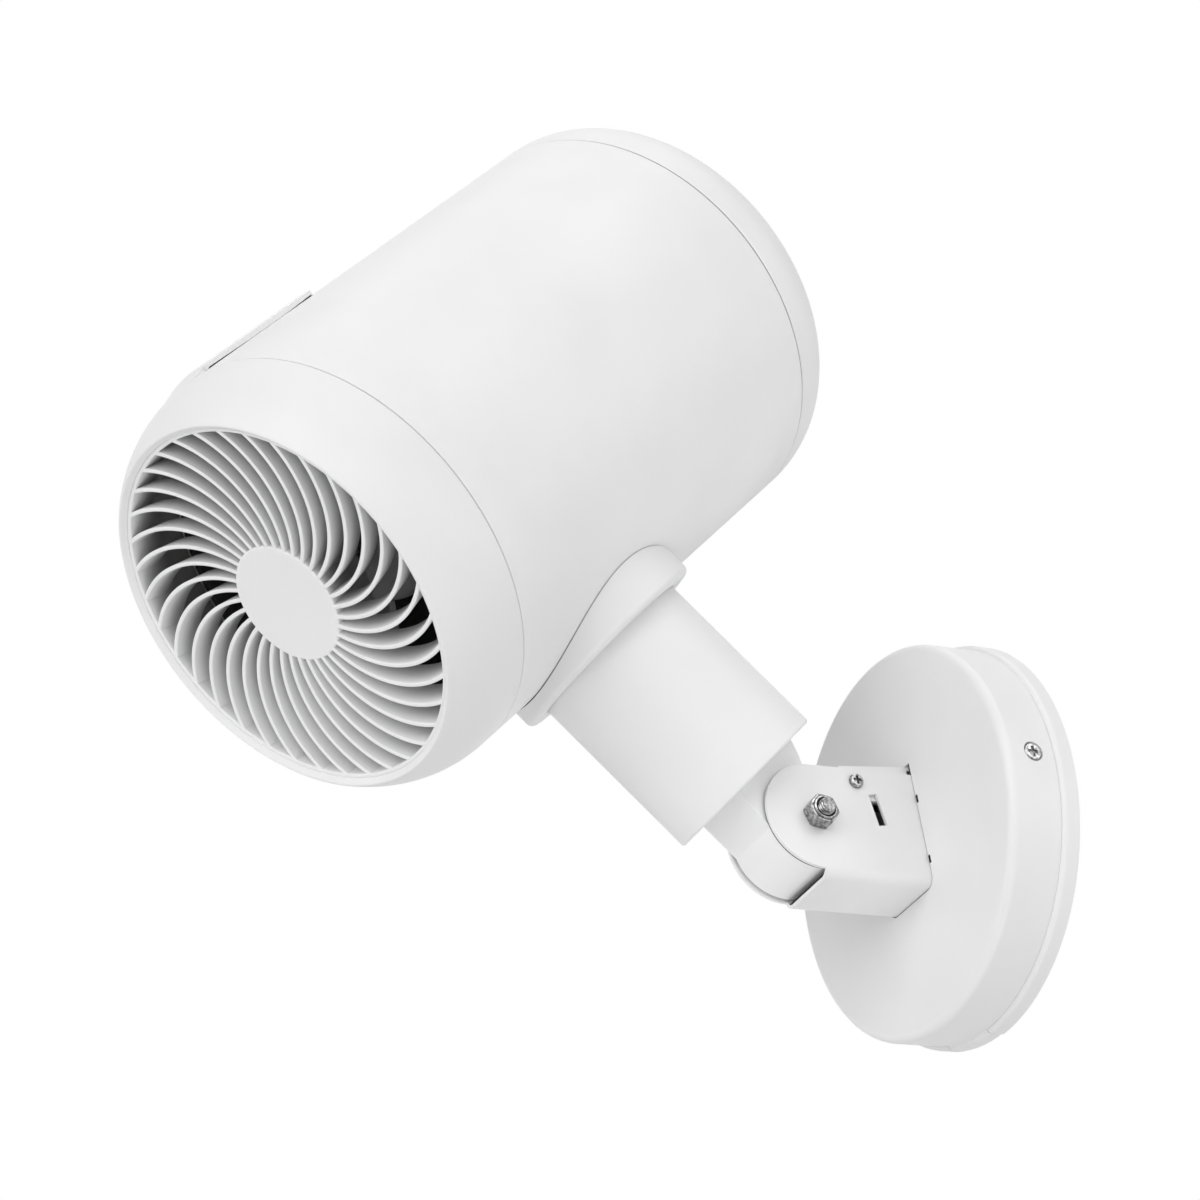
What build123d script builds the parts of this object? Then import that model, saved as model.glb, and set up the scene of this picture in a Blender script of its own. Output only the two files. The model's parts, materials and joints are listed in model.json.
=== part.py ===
from build123d import *
import math
import os

# Wall mounted fan. The origin is the centre of the base's back face, where it
# meets the wall; -Y points out of the wall and +Z points up. Sizes are in
# millimetres and angles in degrees.

# Base: a round wall plate and the cover over it
plate_radius = 70.2
plate_thickness = 2.5
plate_rim_height = 6.2
plate_rim_width = 6.5
plate_rim_round = 1.8
plate_pad_height = 2.0
plate_pad_size = (62.0, 44.0)
plate_rib_width = 1.6
plate_rib_height = 3.0
plate_rib_angles = (22.5, 67.5, 112.5, 157.5, 202.5, 337.5)
wall_hole_circle = 100.0
wall_hole_radius = 2.6
wall_hole_boss = 6.0
locating_ring_height = 9.0
locating_ring_wall = 2.0
cover_radius = 68.7
cover_front = 25.6
cover_wall = 2.2
cover_edge_round = 3.0
cover_screw_height = 14.2
lug_width = 14.0
lug_wall = 3.6
terminal_size = (34.0, 16.0, 12.0)
terminal_drop = 38.0
terminal_pitch = 10.5
cable_notch_width = 24.0
entry_tab_low = 0.6

# Bracket: a bent channel whose two ears carry the pivot
pivot_reach = 66.6
pivot_rise = -0.65
bracket_width = 28.5
bracket_sheet = 1.2
bracket_bend = 4.0
bracket_bottom = -23.1
bracket_web_front = 66.9
ear_radius = 19.4
flange_width = 13.0
slot_size = (3.3, 12.0)
slot_offset = (24.6, 4.35)
slot_lean = 9.0
relief_size = (1.3, 3.0)
relief_heights = (9.2, -13.8)

# Channel cover: the sloped lid between the bracket's side plates
lid_front = 53.6
lid_back = 20.0
lid_rise_front = 20.3
lid_rise_back = 23.0
lid_sheet = 1.5
lid_flange_bottom = 7.8
lid_flange_front = 51.6
lid_flange_back = 26.0
lid_screw_place = (49.3, 13.75)
lid_relief = 1.0

# Pivot hardware: an M6 bolt with a self-locking nut
bolt_radius = 3.0
bolt_end = 22.2
hex_across_flats = 10.0
nut_height = 5.6
bolt_head_height = 4.0
washer_radius = 6.0
washer_thickness = 1.2
friction_disc_radius = 9.0
friction_disc_thickness = 0.7

# Knuckle and neck, measured along the neck from the pivot
neck_tilt = 47.1
knuckle_radius = 18.6
knuckle_front_depth = 16.4
knuckle_rear_depth = 17.6
knuckle_waist = ((15.6, 19.5), (12.3, 14.0))
knuckle_side_gap = 0.8
stop_lug_radius = 25.0
stop_lug_width = 8.0
stop_lug_side = -4.5
stop_lug_from = 1.0
stop_lug_to = 49.0
wire_hole_radius = 3.0
wire_hole_place = (5.2, 8.0)
neck_radius = 30.0
neck_wall = 2.6
neck_start = 24.25
neck_end_wall = 2.8
neck_edge_round = 1.0
knuckle_flange = 4.0
knuckle_screw_circle = 19.5
neck_overlap = 2.9

# Swivel drive inside the neck: a geared motor, a pinion and the head's gear
bearing_depth = 7.0
bearing_thickness = 4.0
spigot_radius = 12.0
spigot_bore = 8.5
spigot_shoulder = 16.0
thrust_gap = 0.3
gear_module = 0.8
gear_teeth = 36
pinion_teeth = 12
gear_width = 4.8
gear_backlash = 0.2
pressure_angle = 20.0
drive_radius = 14.0
drive_depth = 19.0
drive_shaft_offset = 8.0
drive_ear_spacing = 35.0
drive_ear_radius = 3.5
drive_shaft_radius = 2.5
pillar_radius = 3.0
clip_thickness = 0.9
clip_radius = 14.0
drive_screw_length = 6.0

# Collar: the round saddle that carries the head
collar_radius = 38.0
collar_depth = 5.8
collar_wall = 3.0
collar_floor = 2.9
collar_edge_round = 2.2
collar_screw_offset = 34.0
collar_boss_height = 1.4
spigot_screw_circle = 11.4
spigot_screw_recess = 0.9
spigot_screw_bite = 4.6

# Head, measured along the blowing direction from the neck's axis
head_distance = 171.2
head_radius = 76.4
shell_wall = 2.6
front_seam = 58.9
rear_seam = -112.9
seam_gap = 0.4
nose_start = 63.0
nose_length = 24.9
rim_width = 11.0
lip_width = 2.5
lip_flat = 1.3
lip_rise = 0.55
lip_bevel = 1.0
outlet_wall = 2.0
insert_depth = 8.5
wire_opening_radius = 15.0
ledge_place = -17.0
ledge_height = 4.0
ledge_width = 6.8

# Front grille: spiral vanes between a hub and an outer band
vane_count = 36
vane_arc_radius = 39.7
vane_arc_centre = 42.45
vane_phase = 7.55
vane_front_width = 1.5
vane_back_width = 1.1
vane_back = 68.5
vane_twist = 4.8
hub_radius = 21.3
hub_front = 84.4
hub_back = 66.0
hub_wall = 1.6
band_wall = 1.2
band_front = 86.4
band_back = 62.0

# Rear cap: a rounded dome with spiral intake slots
rear_round_start = -119.0
rear_round_radius = 20.2
rear_round_turn = 75.3
rear_wall = 2.4
intake_count = 30
intake_width = 2.4
intake_inner = 22.0
intake_outer = 52.0

# Control panel on top of the head, and its board inside
panel_half_angle = 18.5
panel_raise = 2.2
panel_front_edge = 77.6
panel_rear_edge = 2.2
board_size = (36.0, 1.6, 48.0)
board_drop = 4.8
board_middle = 27.0
board_post_spacing = (28.0, 38.0)
board_post_radius = 2.6

# Fan: duct, motor mount, motor and impeller
duct_step = 1.9
duct_wall = 2.4
duct_rim_thickness = 2.4
mount_ring_width = 7.0
mount_depth = 6.0
mount_arm_width = 8.0
motor_radius = 27.0
motor_front = 9.0
motor_cup_wall = 2.2
motor_cup_front = 6.0
motor_boss_radius = 8.0
fan_shaft_radius = 3.0
blade_count = 7
tip_clearance = 2.0
blade_thickness = 2.0
blade_root_chord = 30.0
blade_tip_chord = 34.0
blade_root_pitch = 48.0
blade_tip_pitch = 27.0
impeller_back = 12.5
impeller_front = 44.0
impeller_hub_radius = 24.0
impeller_hub_wall = 2.5
impeller_boss_radius = 6.0
fan_nut_height = 5.0

# Screws: head radius, head height and shank radius
cover_screw = (3.3, 1.2, 1.2)
bracket_screw = (3.6, 2.4, 1.9)
small_screw = (2.6, 1.6, 1.1)
frame_screw = (2.75, 2.0, 1.4)
drive_screw = (2.6, 1.6, 1.3)
board_screw = (1.8, 1.0, 0.8)

# Clearances
slip = 0.1
running = 0.05
free = 0.3
hole_play = 0.15

BOTTOM = (Align.CENTER, Align.CENTER, Align.MIN)
LEAN = math.radians(neck_tilt)
pivot = (0, -pivot_reach, pivot_rise)
head_centre = (
    0,
    -pivot_reach - head_distance * math.cos(LEAN),
    pivot_rise + head_distance * math.sin(LEAN),
)

# Local frames: each has its +Z along the axis of what it carries
wall_frame = Plane(origin=(0, 0, 0), x_dir=(1, 0, 0), z_dir=(0, -1, 0))
neck_frame = Plane(origin=pivot, x_dir=(1, 0, 0), z_dir=(0, -math.cos(LEAN), math.sin(LEAN)))
head_frame = Plane(
    origin=head_centre, x_dir=(1, 0, 0), z_dir=(0, -math.sin(LEAN), -math.cos(LEAN))
)
pivot_frame = Plane(origin=pivot, x_dir=(0, 1, 0), z_dir=(1, 0, 0))

parts = {}


def rod(radius, low, high, x=0, y=0):
    """Cylinder along Z between two heights."""
    return Pos(x, y, low) * Cylinder(radius, high - low, align=BOTTOM)


def tube(outer, inner, low, high, x=0, y=0):
    """Hollow cylinder along Z."""
    return rod(outer, low, high, x, y) - rod(inner, low - 1, high + 1, x, y)


def block(xs, ys, zs):
    """Box between pairs of limits on each axis."""
    size = [b - a for a, b in (xs, ys, zs)]
    return Pos(xs[0], ys[0], zs[0]) * Box(*size, align=(Align.MIN,) * 3)


def turned(edges, arc=360):
    """Solid of revolution about Z; the profile's x is the radius and y the height."""
    solid = revolve(Plane.XZ * make_face(edges), axis=Axis.Z, revolution_arc=arc)
    return Rot(0, 0, -arc / 2) * solid if arc < 360 else solid


def polygon(points):
    """Closed profile through points."""
    return Polyline(*points, close=True)


def screw(size, length):
    """Pan head screw that points along -Z, with its seat at z = 0."""
    head_radius_, head_height, shank = size
    edge = 0.35 * head_height
    head = rod(head_radius_, 0, head_height)
    head = fillet(head.edges().sort_by(Axis.Z)[-1], edge)
    return head + rod(shank, -length, 0.2)


def hexagon_prism(low, high):
    """Hexagonal prism along Z, with its flats chamfered as on a nut."""
    flats = extrude(RegularPolygon(hex_across_flats / 2, 6, major_radius=False), high - low)
    dome = Pos(0, 0, low) * Cylinder(hex_across_flats * 0.565, high - low, align=BOTTOM)
    return (Pos(0, 0, low) * flats) & chamfer(dome.edges().sort_by(Axis.Z)[-1], 0.5)


def polar(radius, angle):
    """Point on a circle about the local Z axis."""
    turn = math.radians(angle)
    return radius * math.cos(turn), radius * math.sin(turn)


# ---------------------------------------------------------------- base
pad_top = plate_thickness + plate_pad_height
cover_inner = cover_radius - cover_wall
seat_radius = cover_inner - free
bracket_half = bracket_width / 2
bracket_inner = bracket_half - bracket_sheet
ear_top = pivot_rise + ear_radius
flange_holes = [
    (sx * (bracket_half + flange_width / 2), sz) for sx in (-1, 1) for sz in (12, -14)
]


def entry_block(gap, top):
    """Space of the cable entry at the bottom of the base's rim, less a gap on each side."""
    return block(
        (-cable_notch_width + gap, -gap), (-plate_radius - 5, -seat_radius + 6), (-1, top)
    )


def make_wall_plate():
    rim_inner = plate_radius - plate_rim_width
    rim = polygon([
        (0, 0),
        (plate_radius, 0),
        (plate_radius, plate_rim_height),
        (rim_inner, plate_rim_height),
        (rim_inner, plate_thickness),
        (0, plate_thickness),
    ])
    plate = turned(rim)
    outer_edge = plate.edges().filter_by(GeomType.CIRCLE).sort_by(SortBy.RADIUS)
    front_edge = outer_edge.filter_by_position(
        Axis.Z, plate_rim_height - 0.01, plate_rim_height + 0.01
    ).sort_by(SortBy.RADIUS)[-1]
    plate = fillet(front_edge, plate_rim_round)
    plate += tube(
        seat_radius,
        seat_radius - locating_ring_wall,
        plate_thickness,
        plate_rim_height + locating_ring_height,
    )
    half_x, half_y = plate_pad_size[0] / 2, plate_pad_size[1] / 2
    plate += block((-half_x, half_x), (-half_y, half_y), (plate_thickness, pad_top))
    for angle in plate_rib_angles:
        rib = block(
            (half_x + 2, seat_radius - 0.5),
            (-plate_rib_width / 2, plate_rib_width / 2),
            (plate_thickness, plate_thickness + plate_rib_height),
        )
        plate += Rot(0, 0, angle) * rib
    for side in (0, 180):
        lug = block(
            (seat_radius - lug_wall - free, seat_radius - free),
            (-lug_width / 2, lug_width / 2),
            (plate_thickness, cover_screw_height + 5),
        )
        plate += Rot(0, 0, side) * lug
        pilot = Rot(0, 0, side) * Pos(seat_radius, 0, cover_screw_height) * Rot(0, 90, 0)
        plate -= pilot * Cylinder(cover_screw[2] + running, 20)
    plate -= entry_block(0, plate_rim_height + 1)
    for angle in range(45, 360, 90):
        x, y = polar(wall_hole_circle / 2, angle)
        plate += rod(wall_hole_boss, plate_thickness, plate_thickness + 1.5, x, y)
        plate -= rod(wall_hole_radius, -1, plate_thickness + 3, x, y)
    for x, y in flange_holes:
        plate -= rod(bracket_screw[2] + running, -1, pad_top + 1, x, y)
    return plate


def make_base_cover():
    back = plate_rim_height + slip
    cover = turned(polygon([
        (0, cover_front),
        (cover_radius, cover_front),
        (cover_radius, back),
        (cover_inner, back),
        (cover_inner, cover_front - cover_wall),
        (0, cover_front - cover_wall),
    ]))
    circles = cover.edges().filter_by(GeomType.CIRCLE)
    front_edges = circles.filter_by_position(Axis.Z, cover_front - 0.01, cover_front + 0.01)
    cover = fillet(front_edges, cover_edge_round)
    cover += tube(cover_radius, cover_inner, entry_tab_low, back + 1) & entry_block(free, back + 2)
    window = block(
        (-bracket_half - free, bracket_half + free),
        (bracket_bottom - free, lid_rise_back + free),
        (cover_front - cover_wall - 2, cover_front + 1),
    )
    lower_edges = window.edges().filter_by(Axis.Z).sort_by(Axis.Y)[:2]
    cover -= fillet(lower_edges, bracket_bend + free)
    width, height = relief_size
    for rise in relief_heights:
        for side in (-1, 1):
            middle = side * (bracket_half + free + width / 2 - 0.2)
            cover -= block(
                (middle - width / 2, middle + width / 2),
                (rise - height / 2, rise + height / 2),
                (cover_front - cover_wall - 2, cover_front + 1),
            )
    head, depth, shank = cover_screw
    for side in (0, 180):
        hole = Rot(0, 0, side) * Pos(cover_radius, 0, cover_screw_height) * Rot(0, 90, 0)
        cover -= hole * Cylinder(shank + hole_play, 20)
        cover -= hole * Cylinder(head + 0.35, 2 * depth)
    return cover


def make_cover_screws():
    screws = Part()
    for side in (0, 180):
        seat = cover_radius - cover_screw[1]
        place = Rot(0, 0, side) * Pos(seat, 0, cover_screw_height) * Rot(0, 90, 0)
        screws += place * screw(cover_screw, seat - seat_radius + lug_wall)
    return screws


def make_terminal_block():
    width, depth, height = terminal_size
    ys = (-terminal_drop - depth / 2, -terminal_drop + depth / 2)
    body = block((-width / 2, width / 2), ys, (plate_thickness, plate_thickness + height))
    for x in (-terminal_pitch, 0, terminal_pitch):
        body -= rod(2.2, plate_thickness + height / 2, plate_thickness + height + 1, x, sum(ys) / 2)
        wire_way = Pos(x, ys[0], plate_thickness + height / 3) * Rot(90, 0, 0)
        body -= wire_way * Cylinder(1.8, 14)
    return body


# ---------------------------------------------------------------- bracket
def bracket_section():
    """Channel section across X and Z, seen along -Y, open at the top."""
    outer = Pos(0, (ear_top + bracket_bottom) / 2) * Rectangle(
        bracket_width, ear_top - bracket_bottom
    )
    outer = fillet(outer.vertices().sort_by(Axis.Y)[:2], bracket_bend)
    inner_bottom = bracket_bottom + bracket_sheet
    inner = Pos(0, (ear_top + 2 + inner_bottom) / 2) * Rectangle(
        bracket_width - 2 * bracket_sheet, ear_top + 2 - inner_bottom
    )
    inner = fillet(inner.vertices().sort_by(Axis.Y)[:2], bracket_bend - bracket_sheet)
    return outer - inner


def make_tilt_bracket():
    reach = pivot_reach + ear_radius
    channel = extrude(wall_frame * bracket_section(), reach)
    side = block((-20, 20), (-bracket_web_front, 1), (bracket_bottom - 1, ear_top + 1))
    ear = Pos(*pivot) * Rot(0, 90, 0) * Cylinder(ear_radius, 40)
    above_web = block(
        (-20, 20), (-reach - 1, -bracket_web_front), (bracket_bottom + bracket_sheet, ear_top + 1)
    )
    bracket = channel & (side + (ear & above_web))
    bracket &= block((-20, 20), (-reach - 1, -pad_top), (-40, 40))
    for sign in (-1, 1):
        near, far = sorted((sign * (bracket_half - 0.5), sign * (bracket_half + flange_width)))
        flange = block(
            (near, far),
            (-pad_top - bracket_sheet, -pad_top),
            (bracket_bottom + bracket_bend, ear_top),
        )
        outer = flange.edges().filter_by(Axis.Y).sort_by(Axis.X)
        bracket += fillet(outer[-2:] if sign > 0 else outer[:2], 4)
    for x, z in flange_holes:
        bracket -= Pos(x, -pad_top, z) * Rot(90, 0, 0) * Cylinder(bracket_screw[2] + 0.3, 12)
    bracket -= Pos(*pivot) * Rot(0, 90, 0) * Cylinder(bolt_radius + hole_play, 2 * bracket_width)
    back, up = slot_offset
    cut = Pos(0, -pivot_reach + back, pivot_rise + up) * Rot(slot_lean, 0, 0)
    bracket -= cut * Box(2 * bracket_width, *slot_size)
    y, z = lid_screw_place
    bracket -= Pos(bracket_half, -y, z) * Rot(0, 90, 0) * Cylinder(small_screw[2] + hole_play, 8)
    return bracket


def make_bracket_screws():
    screws = Part()
    for x, z in flange_holes:
        place = Pos(x, -pad_top - bracket_sheet, z) * Rot(90, 0, 0)
        screws += place * screw(bracket_screw, bracket_sheet + pad_top - 0.6)
    return screws


def lid_height(y):
    """Height of the lid's top face at a distance from the wall."""
    share = (y - lid_back) / (lid_front - lid_back)
    return lid_rise_back + share * (lid_rise_front - lid_rise_back)


def make_channel_cover():
    outer = bracket_inner - free

    def side_profile(points, x0, x1):
        face = make_face(Polyline(*[(-y, z) for y, z in points], close=True))
        return extrude(Plane.YZ.offset(x0) * face, x1 - x0)

    top = side_profile([
        (lid_front, lid_height(lid_front)),
        (lid_back, lid_height(lid_back)),
        (lid_back, lid_height(lid_back) - lid_sheet),
        (lid_front, lid_height(lid_front) - lid_sheet),
    ], -outer, outer)
    lid = top
    for x0 in (-outer, outer - lid_sheet):
        lid += side_profile([
            (lid_flange_front, lid_height(lid_flange_front) - 0.2),
            (lid_flange_back, lid_height(lid_flange_back) - 0.2),
            (lid_flange_back, lid_flange_bottom),
            (lid_flange_front, lid_flange_bottom),
        ], x0, x0 + lid_sheet)
    lid -= Pos(*pivot) * Rot(0, 90, 0) * Cylinder(knuckle_radius + lid_relief, 2 * bracket_width)
    y, z = lid_screw_place
    post = Pos(outer - lid_sheet - 1.2, -y, z) * Rot(0, 90, 0)
    lid += post * Cylinder(small_screw[2] + 1.4, 2.6)
    lid -= Pos(outer, -y, z) * Rot(0, 90, 0) * Cylinder(small_screw[2] + running, 12)
    return lid


def make_channel_cover_screw():
    y, z = lid_screw_place
    return Pos(bracket_half, -y, z) * Rot(0, 90, 0) * screw(small_screw, 5.6)


# ---------------------------------------------------------------- pivot
def make_pivot_bolt():
    seat = -bracket_half - washer_thickness
    shank = rod(bolt_radius, seat, bolt_end)
    shank = fillet(shank.edges().sort_by(Axis.Z)[-1], 0.9)
    head = mirror(hexagon_prism(0, bolt_head_height), Plane.XY)
    return pivot_frame * (shank + Pos(0, 0, seat) * head)


def make_pivot_washer():
    seat = -bracket_half
    return pivot_frame * tube(washer_radius, bolt_radius + hole_play, seat - washer_thickness, seat)


def make_lock_nut():
    nut = hexagon_prism(bracket_half, bracket_half + nut_height)
    crown = rod(bolt_radius + 1.35, bracket_half + nut_height - 1, bracket_half + nut_height + 0.7)
    crown = fillet(crown.edges().sort_by(Axis.Z)[-1], 0.5)
    return pivot_frame * ((Rot(0, 0, 8) * nut) + crown - rod(bolt_radius + running, 10, 30))


def make_friction_discs():
    disc = tube(
        friction_disc_radius,
        bolt_radius + hole_play,
        bracket_inner - friction_disc_thickness,
        bracket_inner,
    )
    return pivot_frame * (disc + mirror(disc, Plane.XY))


# ---------------------------------------------------------------- knuckle and neck
knuckle_half_width = bracket_inner - knuckle_side_gap
neck_inner = neck_radius - neck_wall
flange_seat = neck_start + neck_end_wall
collar_face = head_distance - head_radius - collar_depth
neck_top = collar_face + neck_overlap
floor_low = neck_top + free
bearing_low = collar_face - bearing_depth
bearing_top = bearing_low + bearing_thickness
gear_top = bearing_low - thrust_gap
gear_low = gear_top - gear_width
gear_pitch = gear_module * gear_teeth / 2
pinion_pitch = gear_module * pinion_teeth / 2
shaft_distance = gear_pitch + pinion_pitch
drive_centre = shaft_distance - drive_shaft_offset
drive_top = gear_low - 1.8
spigot_low = drive_top + 0.6
knuckle_screw_places = [(side * knuckle_screw_circle, 0) for side in (-1, 1)]


def make_knuckle():
    barrel = Rot(0, 90, 0) * Cylinder(knuckle_radius, 2 * knuckle_half_width)
    waist, foot = knuckle_waist
    top = flange_seat + 1
    side = make_face(
        Polyline(
            (foot[0], foot[1]),
            (foot[0], 0),
            (-knuckle_front_depth, 0),
            (-knuckle_front_depth, top),
            (knuckle_rear_depth, top),
            (knuckle_rear_depth, neck_start - 0.4),
        )
        + ThreePointArc((knuckle_rear_depth, neck_start - 0.4), waist, foot)
    )
    knuckle = barrel + extrude(Plane.YZ * side, knuckle_half_width, both=True)
    knuckle += rod(neck_inner - slip, flange_seat, flange_seat + knuckle_flange)
    lug_arc = stop_lug_to - stop_lug_from
    lug = extrude(make_face(
        Line((0, 0), polar(stop_lug_radius, 0))
        + CenterArc((0, 0), stop_lug_radius, 0, lug_arc)
        + Line(polar(stop_lug_radius, lug_arc), (0, 0))
    ), stop_lug_width / 2, both=True)
    # Here -Z points from the neck into the bracket and +Y up towards the wall.
    knuckle += Plane.YZ.offset(stop_lug_side) * (Rot(0, 0, 270 + stop_lug_from) * lug)
    knuckle -= Rot(0, 90, 0) * Cylinder(bolt_radius + running, 2 * bracket_width)
    knuckle -= rod(wire_hole_radius, -stop_lug_radius - 1, flange_seat + knuckle_flange + 1, *wire_hole_place)
    for x, y in knuckle_screw_places:
        knuckle -= rod(
            frame_screw[2] + hole_play, flange_seat - 1, flange_seat + knuckle_flange + 1, x, y
        )
    return neck_frame * knuckle


def make_knuckle_screws():
    screws = Part()
    for x, y in knuckle_screw_places:
        seat = flange_seat + knuckle_flange
        screws += Pos(x, y, seat) * screw(frame_screw, seat - neck_start - 0.6)
    return neck_frame * screws


def make_neck_tube():
    neck = rod(neck_radius, neck_start, neck_top)
    neck = fillet(neck.edges().sort_by(Axis.Z)[0], neck_edge_round)
    neck -= rod(neck_inner, flange_seat, neck_top + 1)
    neck -= block(
        (-knuckle_half_width - slip, knuckle_half_width + slip),
        (-knuckle_front_depth - slip, knuckle_rear_depth + slip),
        (neck_start - 1, flange_seat + 1),
    )
    for x, y in knuckle_screw_places:
        neck -= rod(frame_screw[2] + running, neck_start + 0.3, flange_seat + 1, x, y)
    return neck_frame * neck


drive_ears = [(side * drive_ear_spacing / 2, drive_centre) for side in (-1, 1)]


def make_bearing_plate():
    plate = rod(neck_inner - slip, bearing_low, bearing_top)
    for x, y in drive_ears:
        plate += rod(pillar_radius, drive_top, bearing_low + 1, x, y)
        plate -= rod(drive_screw[2] + running, drive_top - 1, bearing_low - 0.5, x, y)
    plate -= rod(spigot_radius + slip, bearing_low - 1, bearing_top + 1)
    return neck_frame * plate


def make_swivel_motor():
    low = drive_top - drive_depth
    motor = rod(drive_radius, low, drive_top, 0, drive_centre)
    motor = fillet(motor.edges().sort_by(Axis.Z)[0], 1.2)
    ears = block(
        (-drive_ear_spacing / 2, drive_ear_spacing / 2),
        (drive_centre - drive_ear_radius, drive_centre + drive_ear_radius),
        (drive_top - 0.8, drive_top),
    )
    for x, y in drive_ears:
        ears += rod(drive_ear_radius, drive_top - 0.8, drive_top, x, y)
        ears -= rod(drive_screw[2] + hole_play, drive_top - 2, drive_top + 1, x, y)
    motor += ears
    motor += block((-8, 8), (drive_centre - drive_radius - 2, drive_centre), (low + 2, drive_top - 2))
    motor += rod(4.5, drive_top - 1, drive_top + 1, 0, shaft_distance)
    motor -= rod(drive_shaft_radius + running, drive_top - 6, drive_top + 2, 0, shaft_distance)
    return neck_frame * motor


def make_motor_screws():
    screws = Part()
    for x, y in drive_ears:
        place = Pos(x, y, drive_top - 0.8) * Rot(180, 0, 0)
        screws += place * screw(drive_screw, drive_screw_length)
    return neck_frame * screws


def gear_face(teeth):
    """Spur gear outline with involute flanks, thinned by half the backlash."""
    pitch = gear_module * teeth / 2
    slope = math.radians(pressure_angle)
    base = pitch * math.cos(slope)
    tip = pitch + 0.9 * gear_module
    root = pitch - 1.2 * gear_module
    half_tooth = math.pi / (2 * teeth) - gear_backlash / (4 * pitch)

    def half_angle(radius):
        reach = max(radius, base)
        roll = math.acos(base / reach)
        involute = math.tan(roll) - roll
        return half_tooth + (math.tan(slope) - slope) - involute

    start = max(base, root)
    radii = [root] + [start + (tip - start) * k / 3 for k in (0, 1, 2, 3)]
    if start == root:
        radii = radii[1:]
    points = []
    for tooth in range(teeth):
        middle = 2 * math.pi * tooth / teeth
        flank = [(radius, half_angle(radius)) for radius in radii]
        points += [polar(radius, math.degrees(middle - angle)) for radius, angle in flank]
        points += [polar(radius, math.degrees(middle + angle)) for radius, angle in reversed(flank)]
    return make_face(Polyline(*points, close=True))


def make_swivel_pinion():
    pinion = Pos(0, shaft_distance, gear_low) * Rot(0, 0, 90) * extrude(
        gear_face(pinion_teeth), gear_width
    )
    pinion -= rod(drive_shaft_radius + running / 2, gear_low - 1, gear_top + 1, 0, shaft_distance)
    return neck_frame * pinion


def make_pinion_shaft():
    return neck_frame * rod(drive_shaft_radius, drive_top - 5.8, gear_top, 0, shaft_distance)


# ---------------------------------------------------------------- swivel parts of the head
spigot_screw_seat = head_distance - head_radius - spigot_screw_recess
spigot_screw_places = [polar(spigot_screw_circle, angle) for angle in (90, 210, 330)]


def make_swivel_spigot():
    spigot = rod(spigot_radius, spigot_low, floor_low)
    spigot += rod(spigot_shoulder, bearing_top + thrust_gap, floor_low)
    spigot -= rod(spigot_bore, spigot_low - 1, floor_low + 1)
    for x, y in spigot_screw_places:
        spigot -= rod(drive_screw[2] + running, floor_low - 5, floor_low + 1, x, y)
    return neck_frame * spigot


def make_swivel_gear():
    tooth_turn = 360 / gear_teeth / 2
    gear = Pos(0, 0, gear_low) * Rot(0, 0, 90 + tooth_turn) * extrude(
        gear_face(gear_teeth), gear_width
    )
    gear -= rod(spigot_radius + running / 2, gear_low - 1, gear_top + 1)
    return neck_frame * gear


def make_retaining_clip():
    low = gear_low - clip_thickness
    ring = tube(clip_radius, spigot_radius + running / 2, low, gear_low)
    ring -= block((-2.5, 2.5), (-clip_radius - 1, -spigot_radius + 1), (low - 1, gear_low + 1))
    return neck_frame * ring


def shell_cylinder(radius):
    """Cylinder of the head, seen from the neck's frame."""
    return Pos(0, 0, head_distance) * Rot(90, 0, 0) * Cylinder(radius, 3 * head_radius)


def make_collar():
    top = head_distance - math.sqrt(head_radius**2 - collar_radius**2) + 2
    skirt_inner = neck_radius + free
    collar = turned(polygon([
        (skirt_inner, collar_face),
        (collar_radius, collar_face),
        (collar_radius, top),
        (collar_radius - collar_wall, top),
        (collar_radius - collar_wall, floor_low + collar_floor),
        (spigot_bore, floor_low + collar_floor),
        (spigot_bore, floor_low),
        (skirt_inner, floor_low),
    ]))
    rims = collar.edges().filter_by(GeomType.CIRCLE).sort_by(SortBy.RADIUS)
    face_rim = rims.filter_by_position(Axis.Z, collar_face - 0.01, collar_face + 0.01)
    collar = fillet(face_rim.sort_by(SortBy.RADIUS)[-1], collar_edge_round)
    collar -= shell_cylinder(head_radius + running)
    for x, y in spigot_screw_places:
        collar -= rod(drive_screw[2] + hole_play, floor_low - 1, top, x, y)
        collar -= rod(drive_screw[0] + free, spigot_screw_seat, top, x, y)
    for side in (-1, 1):
        collar -= rod(
            frame_screw[2] + running, collar_face + 1, top, 0, side * collar_screw_offset
        )
    return neck_frame * collar


def make_spigot_screws():
    screws = Part()
    for x, y in spigot_screw_places:
        length = spigot_screw_seat - floor_low + spigot_screw_bite
        screws += Pos(x, y, spigot_screw_seat) * screw(drive_screw, length)
    return neck_frame * screws


# ---------------------------------------------------------------- head shells
shell_inner = head_radius - shell_wall
insert_outer = shell_inner - slip
insert_inner = insert_outer - 2.4
outlet_radius = head_radius - rim_width
nose_end_x = outlet_radius + lip_width
nose_end_z = nose_start + nose_length
nose_turn = 2 * math.degrees(math.atan((head_radius - nose_end_x) / nose_length))
nose_radius = nose_length / math.sin(math.radians(nose_turn))
nose_x = head_radius - nose_radius
outlet_outer = outlet_radius + outlet_wall
duct_inner = outlet_radius - duct_step
board_top = shell_inner - board_drop
tube_back = band_back - 2.0
duct_front = tube_back
duct_back = ledge_place + mount_depth
duct_outer = duct_inner + duct_wall
mount_screw_circle = shell_inner - ledge_width / 2 - 0.4
mount_screw_places = [polar(mount_screw_circle, angle) for angle in range(45, 360, 90)]
board_posts = [
    (sx * board_post_spacing[0] / 2, board_middle + sz * board_post_spacing[1] / 2)
    for sx in (-1, 1)
    for sz in (-1, 1)
]


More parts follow.
